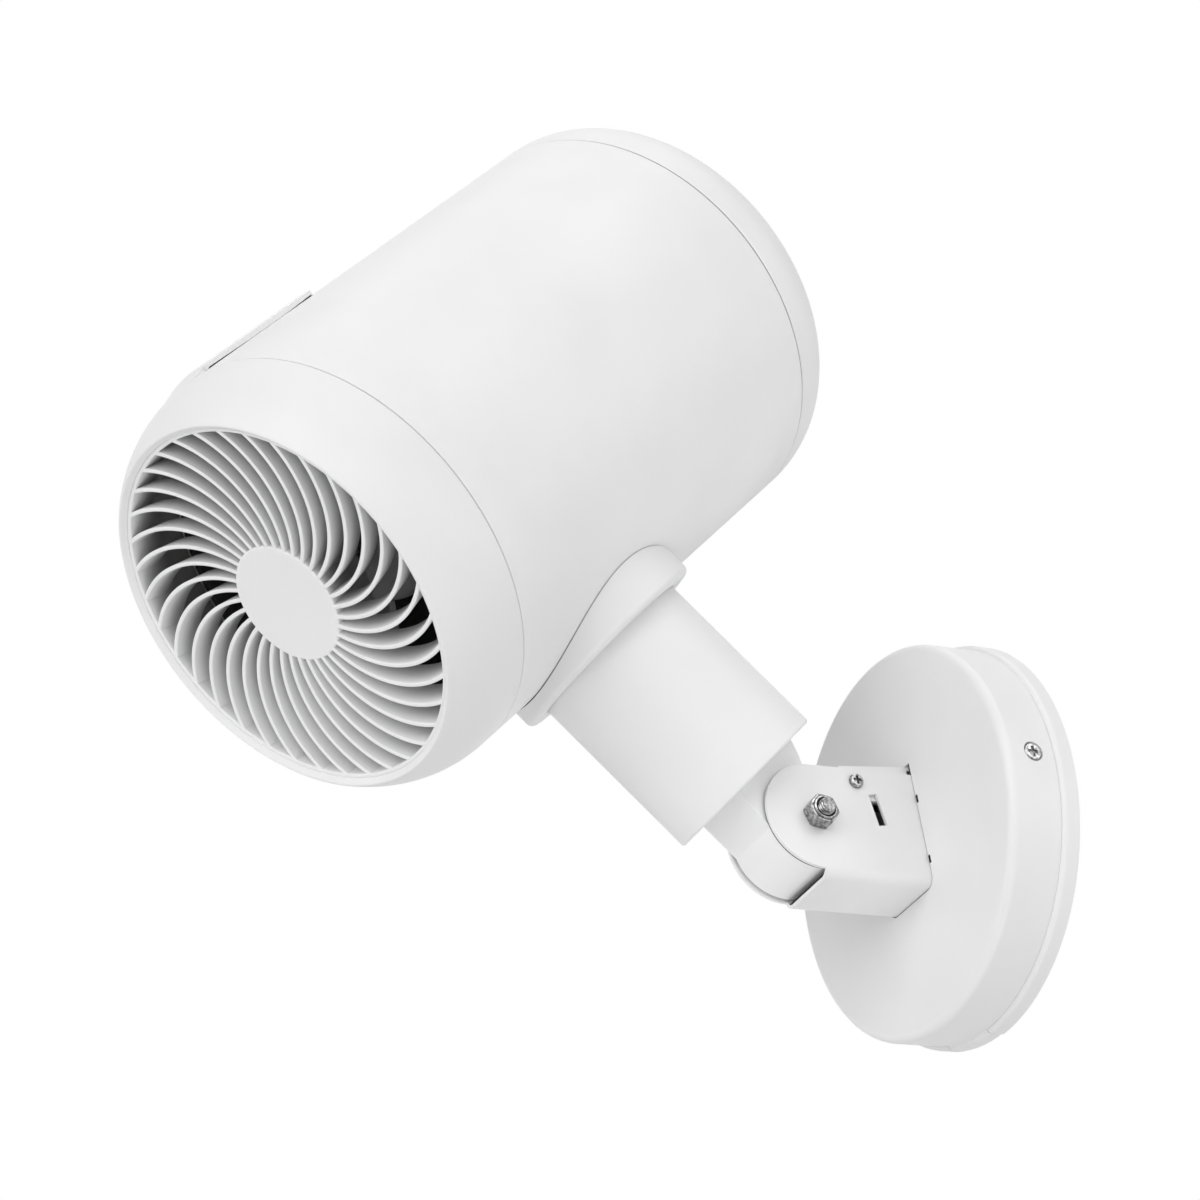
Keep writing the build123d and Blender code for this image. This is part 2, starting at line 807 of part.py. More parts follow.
def make_body_shell():
    front = front_seam - seam_gap / 2
    back = rear_seam + seam_gap / 2
    shell = tube(head_radius, shell_inner, back, front)
    shell += tube(
        shell_inner + 0.5, shell_inner - ledge_width, ledge_place - ledge_height, ledge_place
    )
    for x, y in mount_screw_places:
        shell -= rod(frame_screw[2] + running, ledge_place - 10, ledge_place + 1, x, y)
    for side in (-1, 1):
        middle = -shell_inner + collar_boss_height - 2
        seat = Pos(0, middle, side * collar_screw_offset) * Rot(90, 0, 0)
        shell += seat * Cylinder(4.5, 4)
        shell -= seat * Cylinder(frame_screw[2] + hole_play, head_radius / 2)
    outside = tube(head_radius + 20, head_radius, back - 1, front + 1)
    shell -= outside
    shell -= Pos(0, -head_radius, 0) * Rot(90, 0, 0) * Cylinder(wire_opening_radius, 30)
    for x, z in board_posts:
        post = Pos(x, (board_top + shell_inner + 0.6) / 2, z) * Rot(90, 0, 0)
        shell += post * Cylinder(board_post_radius, shell_inner + 0.6 - board_top)
        shell -= Pos(x, board_top, z) * Rot(90, 0, 0) * Cylinder(board_screw[2] + running, 5.0)
    return head_frame * shell


def make_collar_screws():
    screws = Part()
    for side in (-1, 1):
        seat = -shell_inner + collar_boss_height
        place = Pos(0, seat, side * collar_screw_offset) * Rot(-90, 0, 0)
        screws += place * screw(frame_screw, collar_boss_height + shell_wall + 4.0)
    return head_frame * screws


def make_front_shell():
    back = front_seam + seam_gap / 2
    lip_inner = nose_end_x - lip_flat
    profile = (
        Polyline((insert_outer, back), (head_radius, back), (head_radius, nose_start))
        + CenterArc((nose_x, nose_start), nose_radius, 0, nose_turn)
        + ThreePointArc(
            (nose_end_x, nose_end_z),
            (nose_end_x - lip_flat / 2, nose_end_z + lip_rise),
            (lip_inner, nose_end_z + lip_rise / 4),
        )
        + Polyline(
            (lip_inner, nose_end_z + lip_rise / 4),
            (outlet_radius, nose_end_z - lip_bevel),
            (outlet_radius, tube_back),
            (outlet_outer, tube_back),
            (outlet_outer, nose_end_z - 5.5),
            (head_radius - 3.4, nose_start + 5),
            (insert_inner, back + 2),
            (insert_inner, back - insert_depth),
            (insert_outer, back - insert_depth),
            (insert_outer, back),
        )
    )
    shell = turned(profile)
    raised = head_radius + panel_raise
    on_nose = nose_x + math.sqrt(nose_radius**2 - (panel_front_edge - nose_start) ** 2)
    pad = turned(
        Polyline((head_radius - 1.6, back), (raised, back), (raised, nose_start + 3))
        + ThreePointArc(
            (raised, nose_start + 3),
            (raised - 1.0, nose_start + 10),
            (on_nose - 0.3, panel_front_edge),
        )
        + Polyline(
            (on_nose - 0.3, panel_front_edge), (head_radius - 2.2, nose_start + 5),
            (head_radius - 1.6, back),
        ),
        2 * panel_half_angle,
    )
    return head_frame * (shell + Rot(0, 0, 90) * pad)


def arc_band(inner, outer, width, grow=0):
    """Face of a spiral vane: a stretch of a circular arc between two radii."""
    far, radius = vane_arc_centre, vane_arc_radius

    def bearing(reach):
        """Angle about the arc's own centre where the arc meets a radius."""
        cosine = (far**2 + radius**2 - reach**2) / (2 * far * radius)
        return math.degrees(math.acos(cosine))

    start, end = bearing(inner), bearing(outer)
    ring = Circle(radius + width / 2) - Circle(radius - width / 2)
    reach = 3 * radius
    first = (reach * math.cos(math.radians(180 + start)), reach * math.sin(math.radians(180 + start)))
    last = (reach * math.cos(math.radians(180 + end)), reach * math.sin(math.radians(180 + end)))
    wedge = make_face(Polyline((0, 0), first, last, close=True))
    return Pos(far, 0) * (ring & wedge)


def make_front_grille():
    band_outer = outlet_radius - free / 2
    band_inner = band_outer - band_wall
    top = band_front + 3
    front = arc_band(hub_radius - 0.8, band_inner + 0.5, vane_front_width)
    back = Rot(0, 0, vane_twist) * arc_band(hub_radius - 0.8, band_inner + 0.5, vane_back_width)
    vane = loft([Pos(0, 0, vane_back) * back, Pos(0, 0, top) * front], ruled=True)
    vanes = [
        Rot(0, 0, vane_phase + 360 * k / vane_count) * vane for k in range(vane_count)
    ]
    hub = rod(hub_radius, hub_back, top) - rod(hub_radius - hub_wall, hub_back - 1, hub_front - 2)
    band = tube(band_outer, band_inner, band_back, top)
    grille = hub + band + vanes
    rise = turned(polygon([
        (0, hub_front),
        (hub_radius, hub_front),
        (band_outer + 1, band_front),
        (band_outer + 1, top + 1),
        (0, top + 1),
    ]))
    return head_frame * (grille - rise)


def make_rear_cap():
    back = rear_seam - seam_gap / 2
    turn = rear_round_turn
    centre = (head_radius - rear_round_radius, rear_round_start)
    corner_x = centre[0] + rear_round_radius * math.cos(math.radians(turn))
    corner_z = centre[1] - rear_round_radius * math.sin(math.radians(turn))
    dome = corner_x / math.cos(math.radians(turn))
    dome_centre = (0, corner_z + dome * math.sin(math.radians(turn)))
    inner_round = rear_round_radius - rear_wall
    inner_dome = dome - rear_wall
    apex = dome_centre[1] - dome
    profile = (
        Polyline((insert_outer, back), (head_radius, back), (head_radius, centre[1]))
        + CenterArc(centre, rear_round_radius, 0, -turn)
        + CenterArc(dome_centre, dome, -turn, turn - 90)
        + Line((0, apex), (0, apex + rear_wall))
        + CenterArc(dome_centre, inner_dome, -90, 90 - turn)
        + CenterArc(centre, inner_round, -turn, turn)
        + Polyline(
            (centre[0] + inner_round, centre[1]),
            (insert_inner, back - 2),
            (insert_inner, back + insert_depth),
            (insert_outer, back + insert_depth),
            (insert_outer, back),
        )
    )
    cap = turned(profile)
    slot = extrude(arc_band(intake_inner, intake_outer, intake_width), 30)
    slots = [
        Pos(0, 0, apex - 5) * Rot(0, 0, 360 * k / intake_count) * slot
        for k in range(intake_count)
    ]
    return head_frame * (cap - slots)


def make_control_panel():
    low = head_radius + running
    high = head_radius + panel_raise
    panel = turned(
        polygon([
            (low, panel_rear_edge),
            (high, panel_rear_edge),
            (high, front_seam - seam_gap / 2),
            (low, front_seam - seam_gap / 2),
        ]),
        2 * panel_half_angle,
    )
    return head_frame * (Rot(0, 0, 90) * panel)


def make_control_board():
    half_x, half_z = board_size[0] / 2, board_size[2] / 2
    zs = (board_middle - half_z, board_middle + half_z)
    board = block((-half_x, half_x), (board_top - board_size[1], board_top), zs)
    board += block((-6, 6), (board_top - 0.1, board_top + 2), (board_middle - 6, board_middle + 6))
    board += block((-8, 8), (board_top - 0.1, board_top + 2.5), (zs[0] + 2, zs[0] + 8))
    for x, z in board_posts:
        board -= Pos(x, board_top, z) * Rot(90, 0, 0) * Cylinder(board_screw[2] + hole_play, 8)
    return head_frame * board


def make_board_screws():
    screws = Part()
    for x, z in board_posts:
        place = Pos(x, board_top - board_size[1], z) * Rot(90, 0, 0)
        screws += place * screw(board_screw, board_size[1] + 2.2)
    return head_frame * screws


# ---------------------------------------------------------------- fan
def make_fan_duct():
    rim_top = duct_back + duct_rim_thickness
    duct = turned(polygon([
        (duct_inner, duct_back),
        (insert_outer, duct_back),
        (insert_outer, rim_top),
        (duct_outer, rim_top),
        (duct_outer, duct_front - 2.4),
        (outlet_outer, duct_front - 2.4),
        (outlet_outer, duct_front - slip),
        (duct_inner, duct_front - slip),
    ]))
    for x, y in mount_screw_places:
        duct -= rod(frame_screw[2] + hole_play, duct_back - 1, rim_top + 1, x, y)
    return head_frame * duct


def make_motor_mount():
    low, high = ledge_place, duct_back
    cup_outer = motor_radius + slip + motor_cup_wall
    mount = tube(insert_outer, insert_outer - mount_ring_width, low, high)
    for angle in range(45, 360, 90):
        arm = block(
            (cup_outer - 1, insert_outer - mount_ring_width + 1),
            (-mount_arm_width / 2, mount_arm_width / 2),
            (low, high),
        )
        mount += Rot(0, 0, angle) * arm
    mount += rod(cup_outer, low, motor_cup_front)
    mount -= rod(motor_radius + slip, low + 2, motor_cup_front + 1)
    mount -= rod(motor_boss_radius, low - 1, low + 3)
    for x, y in mount_screw_places:
        mount -= rod(frame_screw[2] + hole_play, low - 1, high + 1, x, y)
    return head_frame * mount


def make_mount_screws():
    seat = duct_back + duct_rim_thickness
    screws = Part()
    for x, y in mount_screw_places:
        screws += Pos(x, y, seat) * screw(frame_screw, seat - ledge_place + ledge_height - 1)
    return head_frame * screws


def make_fan_motor():
    back = ledge_place + 2
    motor = rod(motor_radius, back, motor_front)
    motor = chamfer(motor.edges().sort_by(Axis.Z)[-1], 1.5)
    motor += rod(motor_boss_radius, motor_front - 1, motor_front + 2)
    motor -= rod(fan_shaft_radius + running, back - 1, motor_front + 3)
    return head_frame * motor


def make_motor_shaft():
    return head_frame * rod(
        fan_shaft_radius, ledge_place + 1, impeller_front + fan_nut_height + 2
    )


def blade_section(radius, chord, pitch):
    """Flat section of a blade, square to the radius."""
    frame = Plane(origin=(radius, 0, 0), x_dir=(0, 1, 0), z_dir=(1, 0, 0))
    return frame * (Rot(0, 0, pitch) * Rectangle(chord, blade_thickness))


def make_impeller():
    back, front, outer = impeller_back, impeller_front, impeller_hub_radius
    hub = rod(outer, back, front)
    hub = fillet(hub.edges().sort_by(Axis.Z)[-1], 5)
    hub -= rod(outer - impeller_hub_wall, back - 1, front - 3.0)
    hub += rod(impeller_boss_radius, back + 4, front - 1)
    half_chord = blade_tip_chord / 2 * math.cos(math.radians(blade_tip_pitch))
    blade_tip = math.sqrt((duct_inner - tip_clearance) ** 2 - half_chord**2)
    blade = loft([
        blade_section(outer - 1.2, blade_root_chord, blade_root_pitch),
        blade_section(blade_tip, blade_tip_chord, blade_tip_pitch),
    ], ruled=True)
    middle = (back + front) / 2
    blades = [
        Pos(0, 0, middle) * Rot(0, 0, 360 * k / blade_count) * blade for k in range(blade_count)
    ]
    solid_hub = rod(outer - impeller_hub_wall, back - 1, front - 3.0)
    hollow = solid_hub - rod(impeller_boss_radius, back + 4, front)
    impeller = (hub + blades) - hollow
    impeller -= rod(fan_shaft_radius + running / 2, back - 1, front + 1)
    return head_frame * impeller


def make_impeller_nut():
    low = impeller_front
    nut = rod(hex_across_flats / 2, low, low + fan_nut_height)
    nut = fillet(nut.edges().sort_by(Axis.Z)[-1], 1.0)
    return head_frame * (nut - rod(fan_shaft_radius + running / 2, low - 1, low + 10))


makers = {
    "wall_plate": make_wall_plate,
    "base_cover": make_base_cover,
    "cover_screws": make_cover_screws,
    "terminal_block": make_terminal_block,
    "tilt_bracket": make_tilt_bracket,
    "bracket_screws": make_bracket_screws,
    "channel_cover": make_channel_cover,
    "channel_cover_screw": make_channel_cover_screw,
    "pivot_bolt": make_pivot_bolt,
    "pivot_washer": make_pivot_washer,
    "lock_nut": make_lock_nut,
    "friction_discs": make_friction_discs,
    "knuckle": make_knuckle,
    "knuckle_screws": make_knuckle_screws,
    "neck_tube": make_neck_tube,
    "bearing_plate": make_bearing_plate,
    "swivel_motor": make_swivel_motor,
    "motor_screws": make_motor_screws,
    "pinion_shaft": make_pinion_shaft,
    "swivel_pinion": make_swivel_pinion,
    "swivel_spigot": make_swivel_spigot,
    "swivel_gear": make_swivel_gear,
    "retaining_clip": make_retaining_clip,
    "collar": make_collar,
    "spigot_screws": make_spigot_screws,
    "collar_screws": make_collar_screws,
    "body_shell": make_body_shell,
    "front_shell": make_front_shell,
    "front_grille": make_front_grille,
    "rear_cap": make_rear_cap,
    "control_panel": make_control_panel,
    "control_board": make_control_board,
    "board_screws": make_board_screws,
    "fan_duct": make_fan_duct,
    "motor_mount": make_motor_mount,
    "mount_screws": make_mount_screws,
    "fan_motor": make_fan_motor,
    "motor_shaft": make_motor_shaft,
    "impeller": make_impeller,
    "impeller_nut": make_impeller_nut,
}
in_wall_frame = {"wall_plate", "base_cover", "cover_screws", "terminal_block"}

os.makedirs("parts", exist_ok=True)
for name, maker in makers.items():
    solid = maker()
    if name in in_wall_frame:
        solid = wall_frame * solid
    export_step(solid, f"parts/{name}.step")
    print(name, round(solid.volume, 1))
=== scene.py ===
import json
import math

import bmesh
import bpy
import numpy as np
from mathutils import Matrix


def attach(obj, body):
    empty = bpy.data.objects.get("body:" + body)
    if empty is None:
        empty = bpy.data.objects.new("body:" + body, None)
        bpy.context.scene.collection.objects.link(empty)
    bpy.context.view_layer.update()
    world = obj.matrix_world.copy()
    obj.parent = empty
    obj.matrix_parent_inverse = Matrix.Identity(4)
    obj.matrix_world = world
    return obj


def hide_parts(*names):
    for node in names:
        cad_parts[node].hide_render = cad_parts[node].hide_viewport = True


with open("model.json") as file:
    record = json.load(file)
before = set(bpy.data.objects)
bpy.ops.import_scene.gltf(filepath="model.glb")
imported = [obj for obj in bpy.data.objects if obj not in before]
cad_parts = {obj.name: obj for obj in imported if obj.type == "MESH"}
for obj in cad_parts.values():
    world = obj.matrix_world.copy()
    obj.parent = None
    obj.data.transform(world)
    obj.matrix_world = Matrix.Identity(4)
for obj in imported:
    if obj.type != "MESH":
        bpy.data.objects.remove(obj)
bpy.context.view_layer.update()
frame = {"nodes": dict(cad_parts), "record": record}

# Sizes are in millimetres here and are turned into metres where a mesh is made.
MM = 0.001
TILT = math.radians(47.1)
SIDE = np.array([1.0, 0.0, 0.0])
OUT = np.array([0.0, -1.0, 0.0])
UP = np.array([0.0, 0.0, 1.0])
ALONG_NECK = np.array([0.0, -math.cos(TILT), math.sin(TILT)])
BLOWING = np.array([0.0, -math.sin(TILT), -math.cos(TILT)])
PIVOT = np.array([0.0, -66.6, -0.65])
HEAD_DISTANCE = 171.2
HEAD = PIVOT + HEAD_DISTANCE * ALONG_NECK
# Turn between two faces, in degrees, past which an edge is sharp.
SHARP = 35

# Axes that the pieces are worked out in: origin, then the directions of x, y and z.
WORLD = (np.zeros(3), SIDE, -OUT, UP)
WALL_AXES = (np.zeros(3), SIDE, UP, OUT)
NECK_AXES = (PIVOT, SIDE, -BLOWING, ALONG_NECK)
HEAD_AXES = (HEAD, SIDE, ALONG_NECK, BLOWING)
PIVOT_AXES = (PIVOT, -OUT, UP, SIDE)


# ------------------------------------------------------------ surfaces
def sheet_of(points, wrap_rows=False):
    """Grid of points (rows, columns, 3) as vertices and quads. Each quad joins a
    point to the next one in its row and to the same two in the next row. Each row
    closes on itself, and with wrap_rows the last row joins the first."""
    rows, columns = points.shape[:2]
    i = np.arange(rows if wrap_rows else rows - 1)[:, None]
    j = np.arange(columns)[None, :]
    i2, j2 = (i + 1) % rows, (j + 1) % columns
    quads = np.stack(
        [i * columns + j, i * columns + j2, i2 * columns + j2, i2 * columns + j], axis=-1
    )
    return points.reshape(-1, 3), quads.reshape(-1, 4)


def put(axes, points):
    """Points in local axes as points of the shared frame: the origin plus each
    coordinate times its direction."""
    origin, x, y, z = axes
    return origin + points[..., :1] * x + points[..., 1:2] * y + points[..., 2:3] * z


def around(radius, turn, height):
    """Points about an axis: (radius cos turn, radius sin turn, height)."""
    return np.stack([radius * np.cos(turn), radius * np.sin(turn), height + 0 * turn], axis=-1)


def eased(corners, closed=True, steps=6):
    """Profile through corners (across, along, round). Each corner becomes the arc of
    its own radius that touches both sides, swept from one side's normal to the
    other's, with a point just beyond each end so that the sides shade flat. The
    second array is 1 on the arcs and 0 elsewhere."""
    spots = np.array([corner[:2] for corner in corners], float)
    rounds = [corner[2] for corner in corners]
    count = len(corners)
    points, edges = [], []
    for k in range(count):
        here = spots[k]
        if not closed and k in (0, count - 1) or rounds[k] <= 0:
            points.append(here[None])
            edges.append(np.zeros(1))
            continue
        back, ahead = spots[k - 1] - here, spots[(k + 1) % count] - here
        span_back, span_ahead = np.linalg.norm(back), np.linalg.norm(ahead)
        back, ahead = back / span_back, ahead / span_ahead
        half = math.acos(np.clip(back @ ahead, -1, 1)) / 2
        radius = min(rounds[k], 0.45 * min(span_back, span_ahead) * math.tan(half))
        reach = radius / math.tan(half)
        middle = here + (back + ahead) / np.linalg.norm(back + ahead) * radius / math.sin(half)
        first, last = here + back * reach - middle, here + ahead * reach - middle
        sweep = math.pi - 2 * half
        t = np.linspace(0, 1, steps + 1)[:, None]
        arc = (np.sin((1 - t) * sweep) * first + np.sin(t * sweep) * last) / math.sin(sweep)
        beyond_back = here + back * (reach + 0.12 * (span_back - reach) * 0.5)
        beyond_ahead = here + ahead * (reach + 0.12 * (span_ahead - reach) * 0.5)
        points += [beyond_back[None], middle + arc, beyond_ahead[None]]
        edges += [np.zeros(1), np.ones(steps + 1), np.zeros(1)]
    return np.concatenate(points), np.concatenate(edges)


def bow(centre, radius, start, end, steps):
    """Points of an arc as corners with no easing: the centre plus the radius times
    the cosine and sine of an angle that runs from start to end."""
    turn = np.radians(np.linspace(start, end, steps + 1))
    x, y = centre[0] + radius * np.cos(turn), centre[1] + radius * np.sin(turn)
    return [(a, b, 0.0) for a, b in zip(x, y)]


def turned(axes, profile, count=256):
    """Surface of revolution: each point (radius, height) of a closed profile is
    carried round the axis."""
    points, edges = profile
    turn = np.radians(np.linspace(0, 360, count, endpoint=False))
    grid = around(points[:, :1], turn, points[:, 1:])
    spots, quads = sheet_of(put(axes, grid), wrap_rows=True)
    return spots, quads, np.repeat(edges, count)


def capped(rings, edges):
    """Closed surface from rings (rings, points, 3) laid one after the other: the first
    and last ring are each shrunk to their middle to close the ends."""
    first, last = rings[:1].mean(axis=1, keepdims=True), rings[-1:].mean(axis=1, keepdims=True)
    whole = np.concatenate([first + 0 * rings[:1], rings, last + 0 * rings[:1]])
    marks = np.concatenate([edges[:1] * 0, edges, edges[-1:] * 0])
    spots, quads = sheet_of(whole)
    return spots, quads, marks.reshape(-1)


def piece(name, body, surfaces, finish, *nodes):
    """One mesh from surfaces (points, quads, edge values), riding on its body."""
    spots, quads, mark_lists, total = [], [], [], 0
    for points, faces, marks in surfaces:
        spots.append(points)
        quads.append(faces + total)
        mark_lists.append(marks)
        total += len(points)
    spots, quads, mark_lists = np.concatenate(spots), np.concatenate(quads), np.concatenate(mark_lists)
    mesh = bpy.data.meshes.new(name)
    mesh.vertices.add(len(spots))
    mesh.vertices.foreach_set("co", (spots * MM).astype(np.float32).ravel())
    mesh.loops.add(quads.size)
    mesh.loops.foreach_set("vertex_index", quads.ravel().astype(np.int32))
    mesh.polygons.add(len(quads))
    mesh.polygons.foreach_set("loop_start", np.arange(0, quads.size, 4, dtype=np.int32))
    mesh.update(calc_edges=True)
    # Edge values: wear on plastics, painted shade on metal pieces.
    marks = mesh.attributes.new("edge", "FLOAT", "POINT")
    marks.data.foreach_set("value", mark_lists.astype(np.float32))
    return finished(name, body, mesh, finish, nodes)


def finished(name, body, mesh, finish, nodes):
    """Welds a mesh, turns its faces outwards, gives it its finish and its body."""
    work = bmesh.new()
    work.from_mesh(mesh)
    bmesh.ops.remove_doubles(work, verts=work.verts, dist=2e-7)
    bmesh.ops.recalc_face_normals(work, faces=work.faces)
    work.to_mesh(mesh)
    work.free()
    mesh.shade_smooth()
    mesh.set_sharp_from_angle(angle=math.radians(SHARP))
    made = bpy.data.objects.new(name, mesh)
    bpy.context.scene.collection.objects.link(made)
    mesh.materials.append(finish)
    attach(made, body)
    if nodes:
        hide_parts(*nodes)
    return made


def softened(made, width):
    """Rounds the sharp edges of a piece over by a width in millimetres."""
    rounding = made.modifiers.new("rounding", "BEVEL")
    rounding.width, rounding.segments, rounding.limit_method = width * MM, 2, "ANGLE"
    rounding.angle_limit = math.radians(SHARP)
    rounding.use_clamp_overlap, rounding.harden_normals = True, True


# ------------------------------------------------------------ finishes
def effect(name, inputs, outputs):
    """An empty shader node group with named inputs and outputs."""
    tree = bpy.data.node_groups.new(name, "ShaderNodeTree")
    for label, value in inputs.items():
        kind = "NodeSocketColor" if isinstance(value, tuple) else "NodeSocketFloat"
        tree.interface.new_socket(label, in_out="INPUT", socket_type=kind).default_value = value
    for label, kind in outputs.items():
        tree.interface.new_socket(label, in_out="OUTPUT", socket_type=kind)
    return tree, tree.nodes.new("NodeGroupInput").outputs, tree.nodes.new("NodeGroupOutput").inputs


def feed(tree, spot, value):
    """Puts a value on a socket, or a link where the value is another socket."""
    if isinstance(value, bpy.types.NodeSocket):
        tree.links.new(value, spot)
    else:
        spot.default_value = value


def node(tree, kind, **inputs):
    """A node with values or links put on its named inputs."""
    made = tree.nodes.new(kind)
    for label, value in inputs.items():
        feed(tree, made.inputs[label.replace("_", " ")], value)
    return made


def mapped(tree, value, low, high, to_low, to_high):
    """A value carried from one range to another."""
    made = tree.nodes.new("ShaderNodeMapRange")
    for spot, number in zip(made.inputs[:5], (value, low, high, to_low, to_high)):
        feed(tree, spot, number)
    return made.outputs[0]


def blended(tree, share, one, other):
    """A colour between two by a share."""
    made = tree.nodes.new("ShaderNodeMix")
    made.data_type = "RGBA"
    for number, value in ((0, share), (6, one), (7, other)):
        feed(tree, made.inputs[number], value)
    return made.outputs[2]


def summed(tree, operation, one, other):
    """Two values put together by a sum, a product and the like."""
    made = tree.nodes.new("ShaderNodeMath")
    made.operation = operation
    for spot, value in zip(made.inputs, (one, other)):
        feed(tree, spot, value)
    return made.outputs[0]


def make_surface_grain():
    """Fine grain of a moulded or coated surface: a fine noise for the height, and a
    broad one for cloudy differences in gloss and shade."""
    tree, into, out = effect(
        "surface grain",
        {"Fine": 1500.0, "Broad": 24.0, "Smooth": 0.4, "Rough": 0.5,
         "Light": (0.9, 0.9, 0.9, 1.0), "Shade": (0.86, 0.86, 0.86, 1.0)},
        {"Height": "NodeSocketFloat", "Roughness": "NodeSocketFloat", "Color": "NodeSocketColor"},
    )
    spot = tree.nodes.new("ShaderNodeTexCoord").outputs["Object"]
    fine = node(tree, "ShaderNodeTexNoise", Vector=spot, Scale=into["Fine"], Detail=3.0)
    broad = node(tree, "ShaderNodeTexNoise", Vector=spot, Scale=into["Broad"], Detail=4.0)
    share = mapped(tree, broad.outputs["Fac"], 0.35, 0.65, 0.0, 1.0)
    tree.links.new(fine.outputs["Fac"], out["Height"])
    tree.links.new(
        mapped(tree, share, 0.0, 1.0, into["Smooth"], into["Rough"]), out["Roughness"]
    )
    tree.links.new(blended(tree, share, into["Light"], into["Shade"]), out["Color"])
    return tree


def make_edge_rub():
    """Slight rubbing along rounded edges: the mesh's edge value broken up by noise,
    as a share for mixing in the rubbed colour."""
    tree, into, out = effect(
        "edge rub",
        {"Amount": 0.3, "Color": (0.9, 0.9, 0.9, 1.0), "Rubbed": (0.95, 0.95, 0.95, 1.0)},
        {"Color": "NodeSocketColor"},
    )
    edge = tree.nodes.new("ShaderNodeAttribute")
    edge.attribute_name = "edge"
    spot = tree.nodes.new("ShaderNodeTexCoord").outputs["Object"]
    patches = node(tree, "ShaderNodeTexNoise", Vector=spot, Scale=180.0, Detail=3.0)
    broken = mapped(tree, patches.outputs["Fac"], 0.4, 0.65, 0.0, 1.0)
    share = summed(tree, "MULTIPLY", edge.outputs["Fac"], broken)
    share = summed(tree, "MULTIPLY", share, into["Amount"])
    tree.links.new(blended(tree, share, into["Color"], into["Rubbed"]), out["Color"])
    return tree


def make_machining():
    """Brushed or turned metal: noise drawn out thin along one direction, for fine
    lines in height and gloss, cloudy noise for shade, and a dark colour where the mesh's edge value is
    1, which paints shade in recesses, creases and under heads."""
    tree, into, out = effect(
        "machining lines",
        {"Fine": 900.0, "Smooth": 0.2, "Rough": 0.42, "Light": (0.7, 0.69, 0.68, 1.0),
         "Shade": (0.45, 0.44, 0.43, 1.0), "Darkening": (0.03, 0.03, 0.03, 1.0)},
        {"Height": "NodeSocketFloat", "Roughness": "NodeSocketFloat", "Color": "NodeSocketColor"},
    )
    spot = tree.nodes.new("ShaderNodeTexCoord").outputs["Object"]
    drawn = node(tree, "ShaderNodeMapping", Vector=spot, Scale=(6.0, 1.0, 1.0))
    lines = node(
        tree, "ShaderNodeTexNoise", Vector=drawn.outputs[0], Scale=into["Fine"], Detail=4.0
    )
    stains = node(tree, "ShaderNodeTexNoise", Vector=spot, Scale=900.0, Detail=5.0)
    tree.links.new(lines.outputs["Fac"], out["Height"])
    tree.links.new(
        mapped(tree, lines.outputs["Fac"], 0.3, 0.7, into["Smooth"], into["Rough"]),
        out["Roughness"],
    )
    share = mapped(tree, stains.outputs["Fac"], 0.4, 0.6, 0.0, 1.0)
    edge = tree.nodes.new("ShaderNodeAttribute")
    edge.attribute_name = "edge"
    clean = blended(tree, share, into["Light"], into["Shade"])
    # Painted shade: the dark colour where the edge value is high.
    tree.links.new(blended(tree, edge.outputs["Fac"], clean, into["Darkening"]), out["Color"])
    return tree


def make_depth_shade():
    """Shade that gathers deep in the outlet: the distance along the head's axis from
    the object coordinates, as a smooth step from the deep colour to the given one."""
    tree, into, out = effect(
        "depth shade",
        {"Color": (0.9, 0.9, 0.9, 1.0), "Deep": (0.3, 0.3, 0.3, 1.0), "From": 0.12, "To": 0.133},
        {"Color": "NodeSocketColor"},
    )
    spot = tree.nodes.new("ShaderNodeTexCoord").outputs["Object"]
    along = tree.nodes.new("ShaderNodeVectorMath")
    along.operation = "DOT_PRODUCT"
    along.inputs[1].default_value = BLOWING.tolist()
    tree.links.new(spot, along.inputs[0])
    share = mapped(tree, along.outputs["Value"], into["From"], into["To"], 0.0, 1.0)
    tree.links.new(blended(tree, share, into["Deep"], into["Color"]), out["Color"])
    return tree


GRAIN, RUB = make_surface_grain(), make_edge_rub()
MACHINING, DEPTH = make_machining(), make_depth_shade()


def grey(level, tint=(0.0, 0.0, 0.0)):
    """A colour from a level of brightness and a slight tint."""
    return (level + tint[0], level + tint[1], level + tint[2], 1.0)


def started(name, slot):
    """A new material that knows its slot, with its node tree and its shader."""
    finish = bpy.data.materials.new(name)
    finish.use_nodes = True
    finish["slot"] = slot
    return finish, finish.node_tree, finish.node_tree.nodes["Principled BSDF"]


def placed(tree, group, **values):
    """A shader group placed in a material with its own values."""
    made = tree.nodes.new("ShaderNodeGroup")
    made.node_tree = group
    for label, value in values.items():
        made.inputs[label].default_value = value
    return made


def surfaced(tree, shader, surface, strength, distance):
    """A group's roughness and, through a bump, its height put on the shader."""
    bump = node(
        tree, "ShaderNodeBump", Height=surface.outputs["Height"], Strength=strength,
        Distance=distance,
    )
    tree.links.new(surface.outputs["Roughness"], shader.inputs["Roughness"])
    tree.links.new(bump.outputs[0], shader.inputs["Normal"])


def moulded(name, slot, light, shade, gloss=(0.42, 0.5), grain=(1500.0, 0.05), marks=0.25):
    """Plastic or powder coat: grain in height, gloss and shade, and rubbed edges."""
    finish, tree, shader = started(name, slot)
    surface = placed(
        tree, GRAIN, Fine=grain[0], Smooth=gloss[0], Rough=gloss[1], Light=light, Shade=shade
    )
    rubbed = tuple(min(1.0, v * 1.06) for v in light[:3]) + (1.0,)
    edges = placed(tree, RUB, Amount=marks, Rubbed=rubbed)
    tree.links.new(surface.outputs["Color"], edges.inputs["Color"])
    tree.links.new(edges.outputs["Color"], shader.inputs["Base Color"])
    surfaced(tree, shader, surface, grain[1], 0.0002)
    return finish


